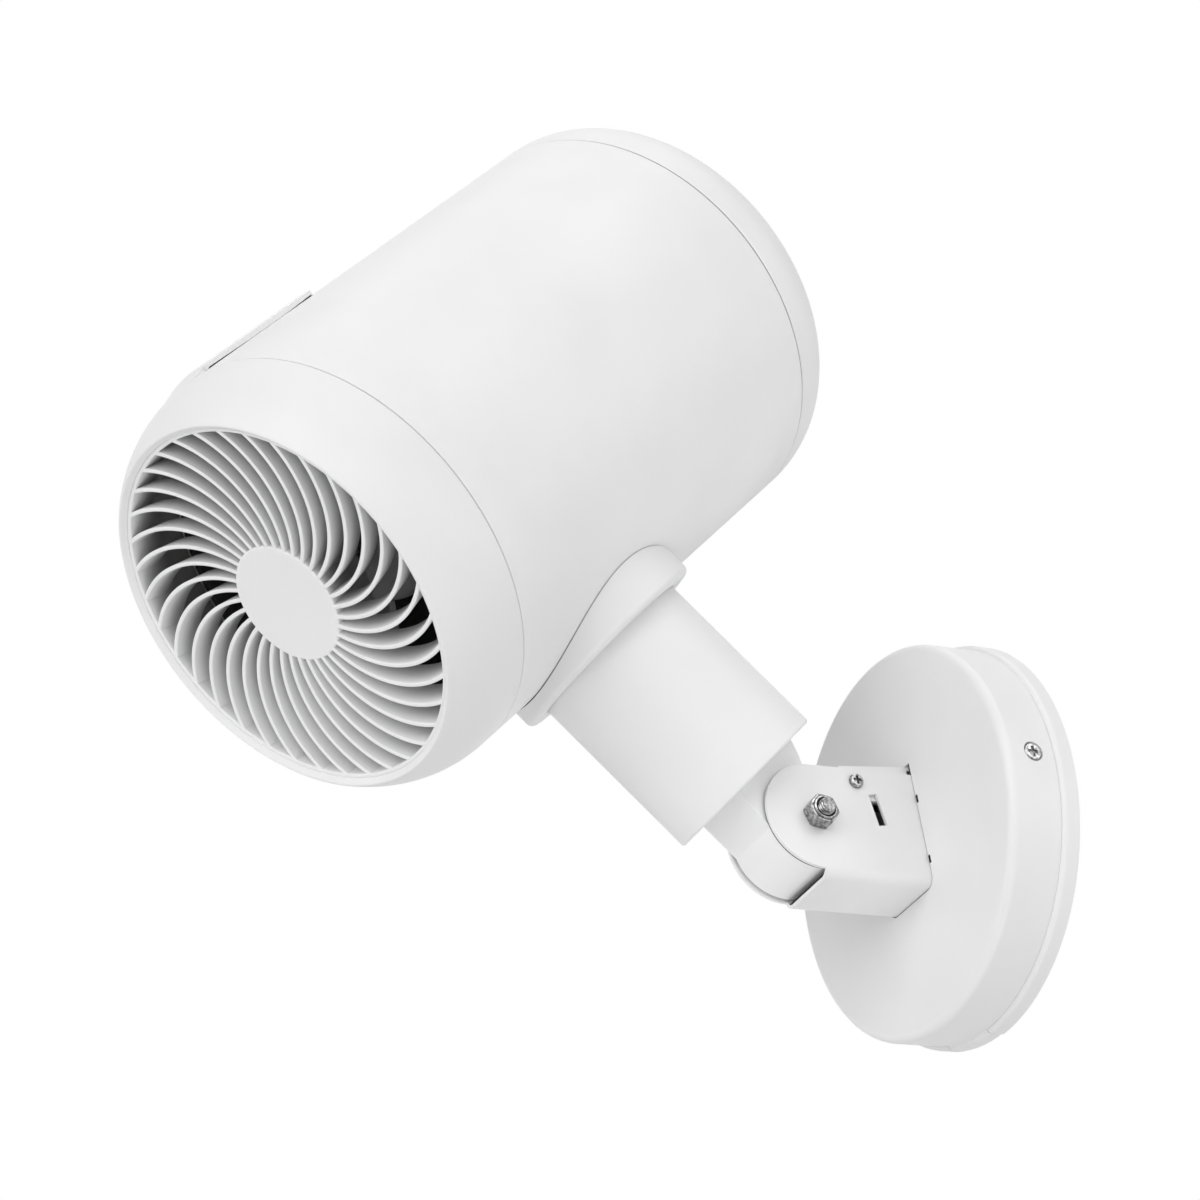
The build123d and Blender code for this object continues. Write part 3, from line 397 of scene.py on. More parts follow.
def machined(name, slot, light, shade, gloss, strength=0.15):
    """Bare metal with fine working lines and cloudy shade."""
    finish, tree, shader = started(name, slot)
    shader.inputs["Metallic"].default_value = 1.0
    surface = placed(tree, MACHINING, Smooth=gloss[0], Rough=gloss[1], Light=light, Shade=shade)
    tree.links.new(surface.outputs["Color"], shader.inputs["Base Color"])
    surfaced(tree, shader, surface, strength, 0.0001)
    return finish


def deepened(finish, deep, start, end):
    """A finish whose colour passes through the depth shade on its way to the shader.
    Start and end are metres along the head's axis."""
    tree = finish.node_tree
    shade = placed(tree, DEPTH, Deep=deep, From=start, To=end)
    colour = tree.nodes["Principled BSDF"].inputs["Base Color"]
    tree.links.new(colour.links[0].from_socket, shade.inputs["Color"])
    tree.links.new(shade.outputs["Color"], colour)
    return finish


shell_white = moulded("shell white", "white_plastic", grey(0.84), grey(0.82))
# A lighter copy of the shell white: painted light on the neck.
neck_white_painted_light = moulded("neck white painted light", "white_plastic", grey(0.87), grey(0.85))
grille_white = moulded("grille white", "white_plastic", grey(0.86), grey(0.84), (0.45, 0.55))
deepened(grille_white, grey(0.3), 0.1212, 0.1342)
panel_white = moulded("panel white", "gloss_panel", grey(0.84), grey(0.83), (0.3, 0.36), (1500.0, 0.02))
coated_white = moulded("coated white", "white_paint", grey(0.86), grey(0.83), (0.3, 0.4), (700.0, 0.12))
# A lighter copy of the coated white: painted light on the knuckle.
cast_white_painted_light = moulded("cast white painted light", "white_paint", grey(0.93), grey(0.91), (0.35, 0.45), (900.0, 0.08))
base_white = moulded("base white", "white_plastic", grey(0.84), grey(0.815), (0.35, 0.45))
blade_grey = moulded("blade grey", "inner_plastic", grey(0.3), grey(0.25), (0.4, 0.5))
inner_grey = moulded("inner grey", "inner_plastic", grey(0.05), grey(0.035), (0.5, 0.6))
# Dark fibre for the nut insert and friction discs, and painted shade for the dark strips in gaps.
dark_grey = moulded("dark fibre and painted shade", "dark_plastic", grey(0.03), grey(0.02), (0.6, 0.8))
dark_grey.node_tree.nodes["Principled BSDF"].inputs["Specular IOR Level"].default_value = 0.1
board_green = moulded("board green", "board", (0.03, 0.16, 0.06, 1), (0.02, 0.12, 0.05, 1), (0.3, 0.4))
stainless = machined("stainless", "steel", grey(0.5), grey(0.2), (0.28, 0.45), 0.4)
zinc = machined("zinc plate", "motor_case", grey(0.5), grey(0.38), (0.3, 0.5))
finishes = {
    "white_plastic": shell_white, "white_paint": coated_white, "steel": stainless,
    "motor_case": zinc, "inner_plastic": inner_grey, "dark_plastic": dark_grey,
    "gloss_panel": panel_white, "board": board_green,
}
slots = {part["node"]: part["material_slot"] for part in frame["record"]["subparts"]}
for name, carried in frame["nodes"].items():
    for place in carried.material_slots:
        place.material = finishes[slots[name]]
for name, finish in (("impeller", blade_grey), ("wall_plate", base_white), ("base_cover", base_white)):
    for place in frame["nodes"][name].material_slots:
        place.material = finish


# ------------------------------------------------------------ head
# Radii about the head's axis, and places along it, which grow towards the front.
HEAD_RADIUS, OUTLET, LIP_OUT = 76.4, 65.4, 2.5
FRONT_SEAM, NOSE_BACK, BACK_SEAM = 58.66, 59.1, -112.66
NOSE_START, NOSE_LENGTH = 63.0, 24.9
NOSE_RIM, NOSE_TOP = OUTLET + LIP_OUT, NOSE_START + NOSE_LENGTH
NOSE_TURN = 2 * math.atan((HEAD_RADIUS - NOSE_RIM) / NOSE_LENGTH)
NOSE_ARC = NOSE_LENGTH / math.sin(NOSE_TURN)
FAR, VANE_ARC, VANES, VANE_BACK = 42.45, 39.7, 36, 76.4
HUB, HUB_FRONT, BAND_OUT, BAND_IN, BAND_FRONT = 21.3, 84.4, 65.38, 64.05, 86.4
VANE_ROOT, VANE_TURN = 68.5, 4.8
HALF_PANEL, PANEL_TOP = math.radians(18.5) * HEAD_RADIUS, 2.2


def spiral_vane(turn, steps=30):
    """One vane of the grille. Its middle line is an arc about a point beside the axis:
    (far - arc cos b, -arc sin b) for a bearing b that runs from the hub to the band.
    Across it stands a thin wall whose front edge is a squarish half round (powers of
    the sine and cosine), thicker at the front and turned less than at the back."""
    reach = np.array([HUB - 0.8, BAND_IN + 0.5])
    ends = np.arccos((FAR**2 + VANE_ARC**2 - reach**2) / (2 * FAR * VANE_ARC))
    bearing = np.linspace(ends[0], ends[1], steps)[:, None]
    half = np.radians(np.linspace(180, 0, 13))
    rounded = np.sign(np.cos(half)) * np.abs(np.cos(half)) ** 0.7
    across = np.concatenate([[-1, -1], rounded, [1, 1]])[None, :]
    front_edge = 0.5 * np.abs(np.sin(half)) ** 0.7 - 0.5
    rise = np.concatenate([[-99, -0.8], front_edge, [-0.8, -99]])[None, :]
    distance = np.sqrt(FAR**2 + VANE_ARC**2 - 2 * FAR * VANE_ARC * np.cos(bearing))
    front = HUB_FRONT + (distance - HUB) / (BAND_OUT + 1 - HUB) * (BAND_FRONT - HUB_FRONT)
    height = np.maximum(front + rise, VANE_BACK)
    share = (height - VANE_ROOT) / (BAND_FRONT + 3 - VANE_ROOT)
    arc = VANE_ARC + across * (1.0 + 0.6 * share) / 2
    x, y = FAR - arc * np.cos(bearing), -arc * np.sin(bearing)
    swing = np.radians(7.55 + turn + VANE_TURN * (1 - share))
    rings = np.stack(
        [x * np.cos(swing) - y * np.sin(swing), x * np.sin(swing) + y * np.cos(swing), height],
        axis=-1,
    )
    marks = np.broadcast_to(np.abs(across) < 0.98, rings.shape[:2]).astype(float)
    return capped(put(HEAD_AXES, rings), marks)


hub = eased([
    (0, HUB_FRONT, 0), (HUB, HUB_FRONT, 0.7), (HUB, 66, 0.3), (HUB - 1.6, 66, 0.3),
    (HUB - 1.6, HUB_FRONT - 2, 0.4), (0, HUB_FRONT - 2, 0),
])
band = eased([
    (BAND_IN, BAND_FRONT, 0.5), (BAND_OUT, BAND_FRONT, 0.12), (BAND_OUT, 62, 0.2),
    (BAND_IN, 62, 0.2),
])
piece(
    "spiral_grille", "head",
    [turned(HEAD_AXES, hub, 160), turned(HEAD_AXES, band, 256)]
    + [spiral_vane(360 / VANES * k) for k in range(VANES)],
    grille_white, "front_grille",
)

nose_arc = bow((HEAD_RADIUS - NOSE_ARC, NOSE_START), NOSE_ARC, 0, math.degrees(NOSE_TURN), 28)
nose = eased(
    [(73.7, NOSE_BACK, 0), (HEAD_RADIUS, NOSE_BACK, 0.35), *nose_arc[:-1], (NOSE_RIM, NOSE_TOP, 0.5),
     (NOSE_RIM - 0.65, NOSE_TOP + 0.55, 0.5), (NOSE_RIM - 1.3, NOSE_TOP + 0.14, 0.4),
     (OUTLET, NOSE_TOP - 1.0, 0.2), (OUTLET, 60, 0.2), (OUTLET + 2, 60, 0.2),
     (OUTLET + 2, NOSE_TOP - 5.5, 0.5), (73.0, 68.0, 1.0), (71.3, 61.1, 0.8),
     (71.3, 50.6, 0.2), (73.7, 50.6, 0.3)]
)


def raised_pad(steps=28):
    """Raised pad on top of the nose ring. Its section across is a low block with
    rounded top edges; along the head its height above the nose's outline dies away
    as a power of what is left of the way to its front end."""
    top, marks = eased([
        (-HALF_PANEL, -1.3, 0), (-HALF_PANEL, PANEL_TOP, 0.5), (0, PANEL_TOP, 0),
        (HALF_PANEL, PANEL_TOP, 0.5), (HALF_PANEL, -1.3, 0),
    ], closed=False)
    fill = np.linspace(-HALF_PANEL + 1, HALF_PANEL - 1, 26)
    across = np.concatenate([top[:10, 0], fill, top[-10:, 0], fill[::-1]])
    lift = np.concatenate([top[:10, 1], 0 * fill + PANEL_TOP, top[-10:, 1], 0 * fill - 1.3])
    marks = np.concatenate([marks[:10], 0 * fill, marks[-10:], 0 * fill])
    height = np.concatenate([[58.82, 58.87, 59.0], np.linspace(59.3, 67.1, steps)])[:, None]
    sunk = np.concatenate([[0.12, 0.04, 0.01], np.zeros(steps)])[:, None]
    way = np.clip((height - NOSE_BACK) / 8.0, 0, 1)
    scale = (1 - way) ** 1.5
    up = np.where(lift > 0, lift * scale - sunk, lift)
    past = np.clip(height - NOSE_START, 0, None)
    radius = HEAD_RADIUS - NOSE_ARC + np.sqrt(NOSE_ARC**2 - past**2) + up
    turn = math.pi / 2 + across / HEAD_RADIUS + 0 * height
    rings = around(radius, turn, height)
    return capped(put(HEAD_AXES, rings), np.broadcast_to(marks, rings.shape[:2]) + 0.0)


piece(
    "nose_ring", "head", [turned(HEAD_AXES, nose, 320), raised_pad()], shell_white, "front_shell"
)

cylinder = eased([
    (73.8, FRONT_SEAM, 0.3), (HEAD_RADIUS, FRONT_SEAM, 0.35), (HEAD_RADIUS, BACK_SEAM, 0.35),
    (73.8, BACK_SEAM, 0.3), (73.8, -21, 0), (67, -21, 0.3), (67, -17, 0.3), (73.8, -17, 0),
])
piece("head_cylinder", "head", [turned(HEAD_AXES, cylinder, 320)], shell_white, "body_shell")


def wedge(along, thick, thin):
    """Wedge along the head: 1 at the thick place, down in a line to 0 at the thin
    one, with a short ramp on the other side of the thick place."""
    way = (along - thick) / (thin - thick)
    return np.clip(1 - way, 0, 1) * np.clip(1 + way * abs(thin - thick) / 0.6, 0, 1)


def touch_panel():
    """Curved plate on top of the head: a tray's section with rounded edges across,
    carried along the head. Two stretches of its rim stand clear of the cylinder."""
    inner = HALF_PANEL - 1.4
    tray, marks = eased(
        [(-HALF_PANEL, 0.06, 0.15), (-HALF_PANEL, PANEL_TOP, 0.45), (0, PANEL_TOP, 0),
         (HALF_PANEL, PANEL_TOP, 0.45), (HALF_PANEL, 0.06, 0.15), (inner, 0.06, 0.1),
         (inner, 1.1, 0.2), (-inner, 1.1, 0.2), (-inner, 0.06, 0.1)]
    )
    order = np.cumsum(np.linalg.norm(np.diff(tray, axis=0, append=tray[:1]), axis=1))
    fine = np.sort(np.concatenate([[0], order, np.linspace(0, order[-1], 120)[1:-1]]))[:-1]
    loop = np.concatenate([[0], order])
    across = np.interp(fine, loop, np.append(tray[:, 0], tray[0, 0]))
    lift = np.interp(fine, loop, np.append(tray[:, 1], tray[0, 1]))
    marks = np.interp(fine, loop, np.append(marks, marks[0]))
    back, front = [2.2, 2.25, 2.4, 2.65], [58.3, 58.55, 58.7]
    along = np.concatenate([back, np.linspace(3, 57.9, 112), front])
    sunk = np.interp(along, back + front, [0.6, 0.25, 0.06, 0, 0, 0.03, 0.12])
    along, sunk = along[:, None], sunk[:, None]
    rows = np.maximum(wedge(along, 2.9, 17.0), wedge(along, 56.6, 35.0))
    up = np.where(lift < 0.6, lift + 0.42 * rows, lift - np.where(lift > 1.5, sunk, 0))
    turn, radius = math.pi / 2 + across / HEAD_RADIUS + 0 * along, HEAD_RADIUS + up
    rings = around(radius, turn, along)
    return capped(put(HEAD_AXES, rings), np.broadcast_to(marks, rings.shape[:2]) + 0.0)


piece("touch_panel", "head", [touch_panel()], panel_white, "control_panel")


def panel_shade_backing():
    """Dark strip under the panel, just inside its rim, that paints the shade seen where the rim stands
    clear: a curved slab.
    """
    edge = HALF_PANEL - 0.5
    across = np.concatenate([np.linspace(-edge, edge, 40), np.linspace(edge, -edge, 40)])
    lift = np.concatenate([np.full(40, 1.0), np.full(40, 0.02)])
    along = np.linspace(2.9, 58.2, 60)[:, None]
    turn, radius = math.pi / 2 + across / HEAD_RADIUS + 0 * along, HEAD_RADIUS + lift
    rings = around(radius, turn, along)
    return capped(put(HEAD_AXES, rings), np.zeros(rings.shape[:2]))


piece("panel_shade_backing", "head", [panel_shade_backing()], dark_grey)

REAR_ROUND, REAR_START, REAR_TURN = 20.2, -119.0, 75.3
SLOTS, SLOT_IN, SLOT_OUT, SLOT_WIDE = 30, 22.0, 52.0, 2.4


def slot_side(radius, offset):
    """Bearing, about the head's axis, of one side of an intake slot at a radius: the
    point on a circle beside the axis, a little larger or smaller, at that radius."""
    arc = VANE_ARC + offset
    bearing = np.arccos((FAR**2 + arc**2 - radius**2) / (2 * FAR * arc))
    return np.arctan2(-arc * np.sin(bearing), FAR - arc * np.cos(bearing))


def rear_dome():
    """Outside of the rear cap as rings from its middle to its rim: a shallow dome, a
    round and a short side. Between the slots' radii the grid leans along the slots'
    sides, so that the slots are left out by whole columns."""
    corner = np.radians(REAR_TURN)
    edge_x = HEAD_RADIUS - REAR_ROUND + REAR_ROUND * np.cos(corner)
    edge_z = REAR_START - REAR_ROUND * np.sin(corner)
    dome = edge_x / np.cos(corner)
    flat = np.concatenate([
        [0.001, 3, 7, 12, 17, 20, 21.3], np.linspace(SLOT_IN, SLOT_OUT, 25), [52.7, 54.5, 57.5],
    ])
    sweep = np.linspace(corner, 0, 18)
    radius = np.concatenate([
        flat, HEAD_RADIUS - REAR_ROUND + REAR_ROUND * np.cos(sweep),
        [HEAD_RADIUS, HEAD_RADIUS, HEAD_RADIUS - 0.1, HEAD_RADIUS - 0.35],
    ])
    height = np.concatenate([
        edge_z + dome * np.sin(corner) - np.sqrt(dome**2 - flat**2),
        REAR_START - REAR_ROUND * np.sin(sweep), [-115, -113.5, -113.2, -113.1],
    ])
    held = np.clip(radius, SLOT_IN, SLOT_OUT)
    one, other = slot_side(held, SLOT_WIDE / 2), slot_side(held, -SLOT_WIDE / 2)
    pitch = 2 * np.pi / SLOTS
    if (other - one)[0] < 0:
        one, other = other, one
    ways = np.array([0, 0.5, 1, 1.06, 1.25, 1.5, 1.75, 1.94])
    first = np.where(ways <= 1, ways, 1)
    then = np.clip(ways - 1, 0, None)
    turn = one[:, None] + (other - one)[:, None] * first + (one + pitch - other)[:, None] * then
    turn = (turn[:, None, :] + pitch * np.arange(SLOTS)[None, :, None]).reshape(len(radius), -1)
    grid = around(radius[:, None], turn, height[:, None])
    spots, quads = sheet_of(put(HEAD_AXES, grid))
    row = np.repeat(np.arange(len(radius) - 1), turn.shape[1])
    column = np.tile(np.arange(turn.shape[1]), len(radius) - 1)
    middle = (radius[:-1] + radius[1:])[row] / 2
    in_slot = (column % len(ways) < 2) & (middle > SLOT_IN) & (middle < SLOT_OUT)
    return spots, quads[~in_slot][:, ::-1], np.zeros(len(spots))


rear = piece("rear_dome", "head", [rear_dome()], shell_white, "rear_cap")
wall = rear.modifiers.new("wall", "SOLIDIFY")
wall.thickness, wall.offset, wall.use_even_offset = 2.4 * MM, -1, True
softened(rear, 0.3)
rear_insert = eased([(73.7, -121, 0.2), (73.7, -104.6, 0.3), (71.3, -104.6, 0.3), (71.3, -121, 0.2)])
piece("rear_insert", "head", [turned(HEAD_AXES, rear_insert, 240)], shell_white)


def saddle():
    """Collar between neck and head: rings round the neck's axis. The wall's top
    follows the head: at (r, t) its height is the head's distance less the root of
    its radius squared minus (r cos t) squared."""
    lower, marks = eased([
        (35.2, 93, 0), (30.3, 93, 0), (30.3, 89.0, 0.5), (38.0, 89.0, 2.2), (38.0, 94, 0),
    ], closed=False)
    turn = np.radians(np.linspace(0, 360, 288, endpoint=False))
    low = np.concatenate([lower, [[38.0, 0.0]] * 4, [[37.85, 0], [37.6, 0], [35.2, 0]]])
    lift = np.array([-0.8, -0.65, -0.5, -0.4, -0.35, -0.3, -0.3])[:, None]
    radius = low[:, :1] + 0 * turn
    head = HEAD_DISTANCE - np.sqrt(HEAD_RADIUS**2 - (radius * np.cos(turn)) ** 2)
    height = low[:, 1:] + 0 * turn
    height[-7:] = head[-7:] + lift
    spots, quads = sheet_of(put(NECK_AXES, around(radius, turn, height)), wrap_rows=True)
    marks = np.concatenate([marks, [0, 0, 0, 0, 1, 1, 0]])
    return spots, quads, np.repeat(marks, len(turn))


piece("saddle", "head", [saddle()], shell_white, "collar")


# ------------------------------------------------------------ neck, bracket and base
# Distance from the middle to an ear's outer face, half the width across the flats of
# nut and bolt, and the washer's thickness.
EAR_FACE, HALF_FLATS, WASHER = 14.25, 5.0, 1.2
tube_profile = eased([
    (0, 24.25, 0), (30.0, 24.25, 1.0), (30.0, 91.9, 0.4), (27.4, 91.9, 0.3), (27.4, 27.05, 0.5),
    (0, 27.05, 0),
])
piece("neck_sleeve", "neck", [turned(NECK_AXES, tube_profile, 240)], neck_white_painted_light, "neck_tube")


def softened_copy(name, node_name, body, finish, width):
    """Welded copy of a CAD piece whose flat faces are joined up and whose edges are
    rounded over a little."""
    mesh = frame["nodes"][node_name].data.copy()
    mesh.materials.clear()
    work = bmesh.new()
    work.from_mesh(mesh)
    bmesh.ops.remove_doubles(work, verts=work.verts, dist=2e-6)
    bmesh.ops.dissolve_limit(
        work, angle_limit=math.radians(1.0), verts=work.verts, edges=work.edges
    )
    work.to_mesh(mesh)
    work.free()
    softened(finished(name, body, mesh, finish, (node_name,)), width)


softened_copy("knuckle_casting", "knuckle", "neck", cast_white_painted_light, 0.5)
softened_copy("bracket_channel", "tilt_bracket", "wall_mount", coated_white, 0.22)
softened_copy("bracket_lid", "channel_cover", "wall_mount", coated_white, 0.2)


def hex_nut():
    """Self-locking nut: rings round the bolt. Over the hexagon the radius is half the
    width across flats divided by the cosine of the turn from the middle of a flat,
    and the corners are cut back by a cone."""
    turn = np.radians(np.linspace(0, 360, 144, endpoint=False))
    flat = HALF_FLATS / np.cos((turn - math.radians(48)) % (math.pi / 3) - math.pi / 6)
    low, high = EAR_FACE, EAR_FACE + 5.6
    rings, marks = [], []
    for share, height in ((None, low + 0.1), (0.88, low), (0.95, low + 0.05), (1.0, low + 0.5),
                          (1.0, high - 0.7), (1.0, high - 0.45), (0.97, high - 0.1), (0.9, high)):
        radius = 0 * turn + 3.1 if share is None else flat * share
        drop = (0.45 if height > low + 1 else -0.3) * np.clip(radius - 4.95, 0, None)
        rings.append(around(radius, turn, height - drop))
        # Painted shade in the bore and round the foot, where the nut sits on the ear.
        marks.append(np.full(len(turn), 0.8 * (share is None or height < low + 0.2)))
    # Collar rings: painted shade in the crease at its foot and down the bore.
    for radius, height, darkened in ((4.5, high, 0.9), (4.4, high + 0.05, 0.9), (4.38, high + 0.35, 0.2),
                                 (4.2, high + 0.6, 0), (3.95, high + 0.7, 0), (3.75, high + 0.68, 0),
                                 (3.62, high + 0.4, 1), (3.6, high - 1.2, 1), (3.1, high - 1.3, 1)):
        rings.append(around(radius, turn, height))
        marks.append(np.full(len(turn), float(darkened)))
    spots, quads = sheet_of(put(PIVOT_AXES, np.stack(rings)), wrap_rows=True)
    return spots, quads, np.concatenate(marks)


piece("pivot_nut", "wall_mount", [hex_nut()], stainless, "lock_nut")
nut_ring = eased([(2.9, 19.6, 0.1), (3.65, 19.6, 0.1), (3.65, 20.25, 0.1), (2.9, 20.25, 0.1)])
piece("nut_insert", "wall_mount", [turned(PIVOT_AXES, nut_ring, 96)], dark_grey)
# Friction discs. The first reaches the near ear's round edge, so its dark rim paints the shade line
# round the ear.
ear_discs_and_shade_line = [
    turned(PIVOT_AXES, eased([(3.3, low, 0.1), (wide, low, 0.1), (wide, low + 0.7, 0.1),
                              (3.3, low + 0.7, 0.1)]), 192)
    for wide, low in ((19.15, 12.3), (9.0, -13.0))
]
piece("ear_discs_and_shade_line", "wall_mount", ear_discs_and_shade_line, dark_grey, "friction_discs")


def bolt():
    """Hexagon bolt: a head with six flats, a plain shank, and a thread whose radius
    goes up and down once per turn along a helix with a 1 mm pitch."""
    turn = np.radians(np.linspace(0, 360, 144, endpoint=False))
    flat = HALF_FLATS / np.cos(turn % (math.pi / 3) - math.pi / 6)
    seat = -EAR_FACE - WASHER
    places = [(0.0, seat - 3.6), (0.6, seat - 3.6), (0.75, seat - 4.0), (0.9, seat - 3.95),
              (1.0, seat - 3.4), (1.0, seat - 0.3), (0.96, seat)]
    head = np.stack([around(flat * share, turn, height) for share, height in places])
    along = np.concatenate([[seat, seat + 0.5, 10.0], np.linspace(10.2, 22.2, 96)])
    share = np.clip((along - 10.2) / 1.0, 0, 1)
    wave = np.abs(((along[:, None] - turn / (2 * np.pi)) % 1.0) - 0.5) * 2
    end = np.clip((along - 21.5) / 0.7, 0, 1)[:, None]
    radius = 2.98 - 0.5 * share[:, None] * wave * (1 - end) - 0.55 * end**1.5
    shank = around(radius, turn, along[:, None])
    rows = np.array([[2.3, 22.2], [2.1, 22.15], [1.8, 22.05], [1.5, 22.05], [1.2, 22.1], [0.7, 22.1],
                     [0.3, 22.05]])
    end_face = around(rows[:, :1], turn, rows[:, 1:])
    # Darker and lighter rings in turn on the end face.
    darkened = np.array([0.7, 0.3, 0.55, 0.35, 0.5, 0.3, 0.5])[:, None] + 0 * turn
    # Painted shade in the thread roots.
    painted_shade = share[:, None] * wave**2 * (1 - end)
    marks = np.concatenate([np.zeros(head.shape[:2]), painted_shade, darkened])
    return capped(put(PIVOT_AXES, np.concatenate([head, shank, end_face])), marks)


piece("hex_bolt", "wall_mount", [bolt()], stainless, "pivot_bolt")
washer = eased([
    (3.2, -EAR_FACE - WASHER, 0.1), (6.0, -EAR_FACE - WASHER, 0.2), (6.0, -EAR_FACE, 0.2),
    (3.2, -EAR_FACE, 0.1),
])
piece("plain_washer", "wall_mount", [turned(PIVOT_AXES, washer, 128)], stainless, "pivot_washer")


def cross_screw(axes, radius, height, shank, length, turned_by):
    """Pan head screw: a domed head on a polar grid, pressed in along two crossed arms
    by a smooth step of the distance from each arm's middle line, and its shank."""
    turn = np.radians(np.linspace(0, 360, 128, endpoint=False)) + turned_by
    reach = np.concatenate([np.linspace(0.001, 0.72, 30), np.linspace(0.75, 1.0, 9)])[::-1] * radius
    share = reach / radius
    top = height - 0.12 * height * share**2 - 0.5 * height * np.clip((share - 0.8) / 0.2, 0, 1) ** 2.5
    x, y = reach[:, None] * np.cos(turn), reach[:, None] * np.sin(turn)
    arm = 0.14 * radius
    cut = np.minimum(np.abs(x), np.abs(y))
    depth = np.clip((arm + 0.06 * radius - cut) / (0.07 * radius), 0, 1)
    depth *= np.clip((0.6 * radius - np.hypot(x, y)) / (0.06 * radius), 0, 1)
    head = np.stack([x, y, top[:, None] - 0.55 * height * depth], axis=-1)
    under = [(shank, -length), (shank, -0.02), (radius * 0.98, 0.0), (radius, 0.06 * height)]
    rings = np.stack([around(r, turn, z) for r, z in under])
    # Painted shade: dark all round the head's underside and rim, and in the cross recess by its depth.
    painted_shade = np.concatenate([np.full((len(under), len(turn)), 0.9), 0.6 * depth])
    return capped(put(axes, np.concatenate([rings, head])), painted_shade)


COVER_SEAT = 67.5
cover_seats = [
    (side * COVER_SEAT * SIDE + 14.2 * OUT, UP, side * OUT, side * SIDE) for side in (1, -1)
]
piece(
    "cover_fixings", "wall_mount", [cross_screw(axes, 3.3, 1.2, 1.2, 5.0, 0.5) for axes in cover_seats],
    stainless, "cover_screws",
)
lid_seat = (EAR_FACE * SIDE + 48.7 * OUT + 13.9 * UP, UP, OUT, SIDE)
piece(
    "lid_fixing", "wall_mount", [cross_screw(lid_seat, 2.6, 1.6, 1.1, 5.6, 0.3)], stainless,
    "channel_cover_screw",
)


def window_shadow_strip():
    """Dark strip in the clearance between bracket and cover that paints the shadow there: a square
    section carried down one side of the bracket, round its two bends and up the other side."""
    bends = np.array([[-10.25, 23.5], [-10.25, -19.1], [10.25, -19.1], [10.25, 23.5]])
    which = np.concatenate([[0], np.full(12, 1), np.full(12, 2), [3]])
    bearing = np.radians(np.concatenate([[180], np.linspace(180, 360, 24), [360]]))[:, None]
    offset = np.array([-0.5, 2.2, 2.2, -0.5])[None, :]
    height = np.array([22.6, 22.6, 25.42, 25.42])[None, :] + 0 * bearing
    x = bends[which, :1] + (4.0 + offset) * np.cos(bearing)
    y = bends[which, 1:] + (4.0 + offset) * np.sin(bearing)
    rings = np.stack([x, y, height], axis=-1)
    return capped(put(WALL_AXES, rings), np.zeros(rings.shape[:2]))


piece("window_shadow_strip", "wall_mount", [window_shadow_strip()], dark_grey)


def web_shade_strip():
    """Dark strip just behind the edge of the bracket's web that paints the shade in the gap next to the
    knuckle:
    one small square section at each end, joined across the bracket."""
    across = np.array([-12.9, 12.9])[:, None]
    depth, height = np.array([-66.85, -64.6, -64.6, -66.85]), np.array([-21.9, -21.9, -21.0, -21.0])
    rings = np.stack(np.broadcast_arrays(across, depth, height), axis=-1)
    return capped(put(WORLD, rings), np.zeros(rings.shape[:2]))


piece("web_shade_strip", "wall_mount", [web_shade_strip()], dark_grey)


def entry_tab():
    """Tab that fills the cable entry in the base's rim. It is cut square to the side,
    so at a distance x from the middle a ring of radius r lies at the root of
    r squared minus x squared below it."""
    profile, marks = eased([
        (64.0, 0.6, 0.3), (70.2, 0.6, 0.3), (70.2, 6.2, 1.7), (66.2, 6.35, 0.4), (64.0, 6.35, 0.3),
    ])
    across = np.concatenate([[-23.7, -23.68, -23.6], np.linspace(-23.3, -0.7, 40), [-0.42, -0.32, -0.3]])
    draw = np.concatenate([[0.3, 0.1, 0.02], np.zeros(40), [0.02, 0.1, 0.3]])
    middle = profile.mean(axis=0)
    rings = middle + (profile - middle)[None] * (1 - draw / 3)[:, None, None]
    depth = np.sqrt(rings[..., 0] ** 2 - across[:, None] ** 2)
    grid = np.stack([across[:, None] + 0 * depth, -depth, rings[..., 1]], axis=-1)
    return capped(put(WALL_AXES, grid), np.broadcast_to(marks, grid.shape[:2]) + 0.0)


piece("entry_tab", "wall_mount", [entry_tab()], base_white)


# ------------------------------------------------------------ stage, light and camera
# Directions of the camera's own axes: to the right, up and towards the viewer.
RIGHT = np.array([0.430880588, 0.891611474, -0.139179377])
ABOVE = np.array([0.507728951, -0.112025479, 0.854202321])
TOWARDS = np.array([0.746024954, -0.438724597, -0.500966562])
EYE = (0.83300894, -0.61804001, -0.47522736)
FRAME_PIXELS, FOCAL_PIXELS = 1200.0, 3255.3146
LAMP_ANGLE, FLOOR, FLOOR_HALF = 50, -1.5, 6

world = bpy.data.worlds.new("studio")
bpy.context.scene.world = world
world.use_nodes = True
air = world.node_tree
ambient = air.nodes["Background"]
ambient.inputs["Color"].default_value = (1, 1, 1, 1)
ambient.inputs["Strength"].default_value = 0.0
white = node(air, "ShaderNodeBackground", Color=(1, 1, 1, 1), Strength=1.0)
rays = air.nodes.new("ShaderNodeLightPath")
seen = summed(air, "MAXIMUM", rays.outputs["Is Camera Ray"], rays.outputs["Is Glossy Ray"])
seen = summed(air, "MAXIMUM", seen, rays.outputs["Is Transmission Ray"])
mix = air.nodes.new("ShaderNodeMixShader")
air.links.new(seen, mix.inputs[0])
air.links.new(ambient.outputs[0], mix.inputs[1])
air.links.new(white.outputs[0], mix.inputs[2])
air.links.new(mix.outputs[0], air.nodes["World Output"].inputs["Surface"])


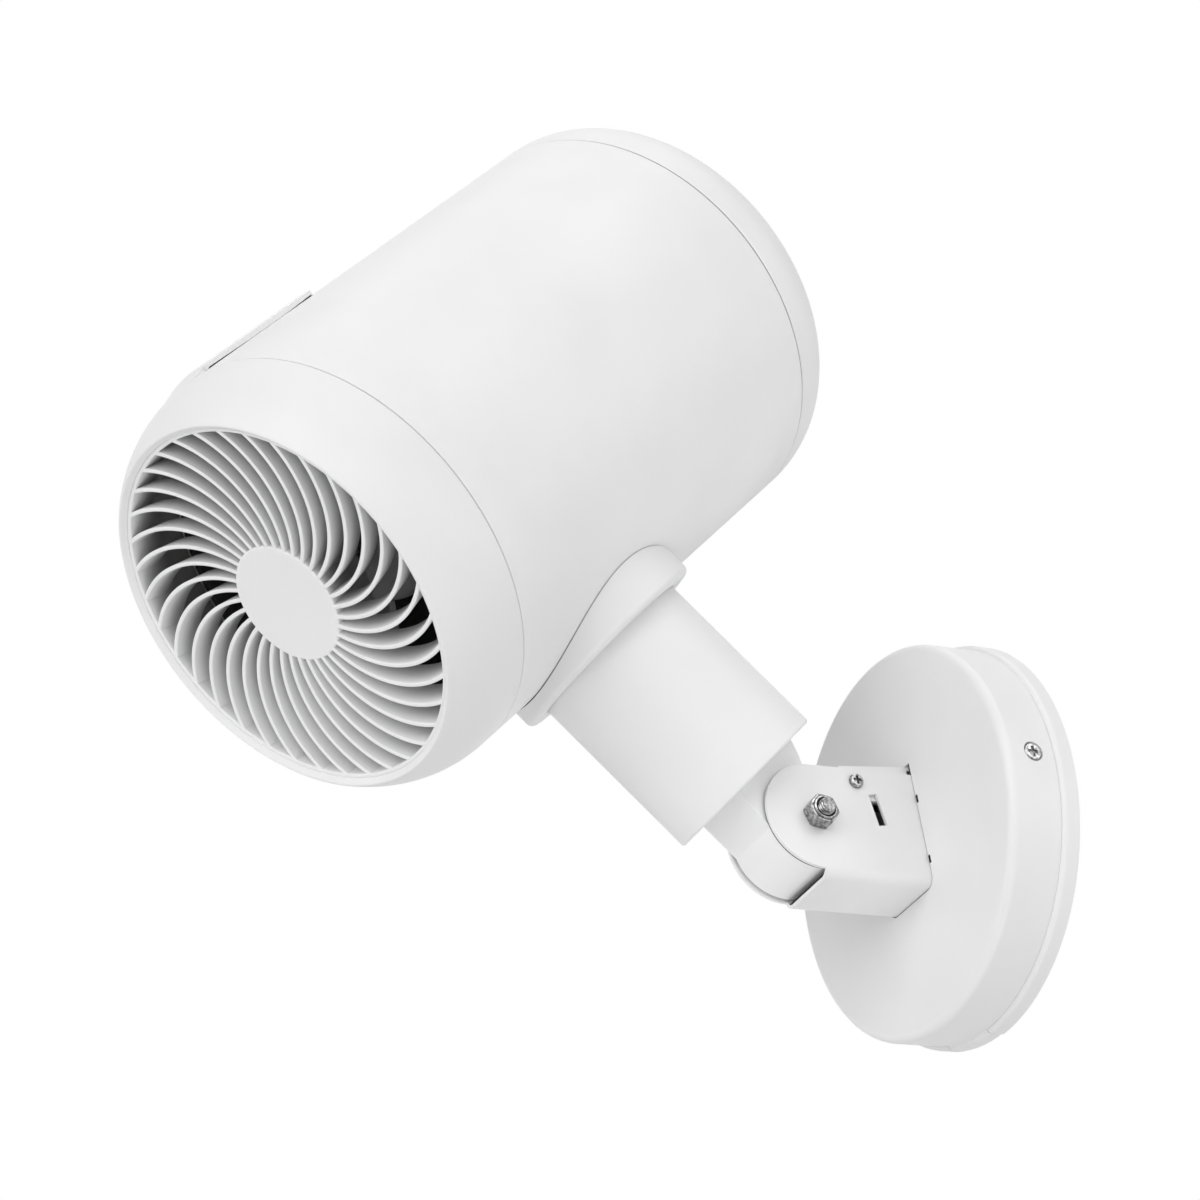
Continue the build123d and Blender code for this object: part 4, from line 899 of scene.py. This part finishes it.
def soft_lamp(name, height, bearing, level):
    """Soft lamp far away. Its direction is given by its height towards the viewer and
    its bearing about the line of sight, 0 to the right and 90 above."""
    data = bpy.data.lights.new(name, "SUN")
    data.energy, data.angle = math.pi * level, math.radians(LAMP_ANGLE)
    made = bpy.data.objects.new(name, data)
    bpy.context.scene.collection.objects.link(made)
    height, bearing = math.radians(height), math.radians(bearing)
    back = TOWARDS * math.sin(height) + math.cos(height) * (
        RIGHT * math.cos(bearing) + ABOVE * math.sin(bearing)
    )
    across = np.cross([0.0, 0.0, 1.0], back)
    across /= np.linalg.norm(across)
    turn = np.stack([across, np.cross(back, across), back], axis=1)
    made.matrix_world = Matrix(turn.tolist()).to_4x4()


# Height and bearing in degrees, and level.
LAMPS = (
    (45, 120, 0.370), (45, 180, 0.200), (45, 300, 0.285), (10, 22.5, 0.182), (10, 67.5, 0.319),
    (10, 157.5, 0.215), (-25, 90, 0.122), (-25, 210, 0.119), (-25, 330, 0.139),
)
for k, lamp in enumerate(LAMPS):
    soft_lamp("lamp_%d" % k, *lamp)

floor_mesh = bpy.data.meshes.new("floor")
floor_mesh.from_pydata(
    [(x * FLOOR_HALF, y * FLOOR_HALF, FLOOR) for x, y in ((-1, -1), (1, -1), (1, 1), (-1, 1))],
    [], [(0, 1, 2, 3)],
)
floor = bpy.data.objects.new("floor", floor_mesh)
bpy.context.scene.collection.objects.link(floor)
floor_mesh.materials.append(
    moulded("floor paint", "stage", grey(0.88), grey(0.86), (0.7, 0.8), (40.0, 0.05), 0.0)
)
# Some lamps shine from below, so the floor casts no shadow. It still receives them.
floor.visible_shadow = False

camera_data = bpy.data.cameras.new("camera")
camera_data.sensor_width = 36.0
camera_data.lens = FOCAL_PIXELS * camera_data.sensor_width / FRAME_PIXELS
camera_data.clip_start, camera_data.clip_end = 0.05, 20.0
camera = bpy.data.objects.new("camera", camera_data)
bpy.context.scene.collection.objects.link(camera)
facing = Matrix(np.stack([RIGHT, ABOVE, TOWARDS], axis=1).tolist()).to_4x4()
camera.matrix_world = Matrix.Translation(EYE) @ facing
bpy.context.scene.camera = camera
bpy.context.scene.view_settings.view_transform = "Standard"
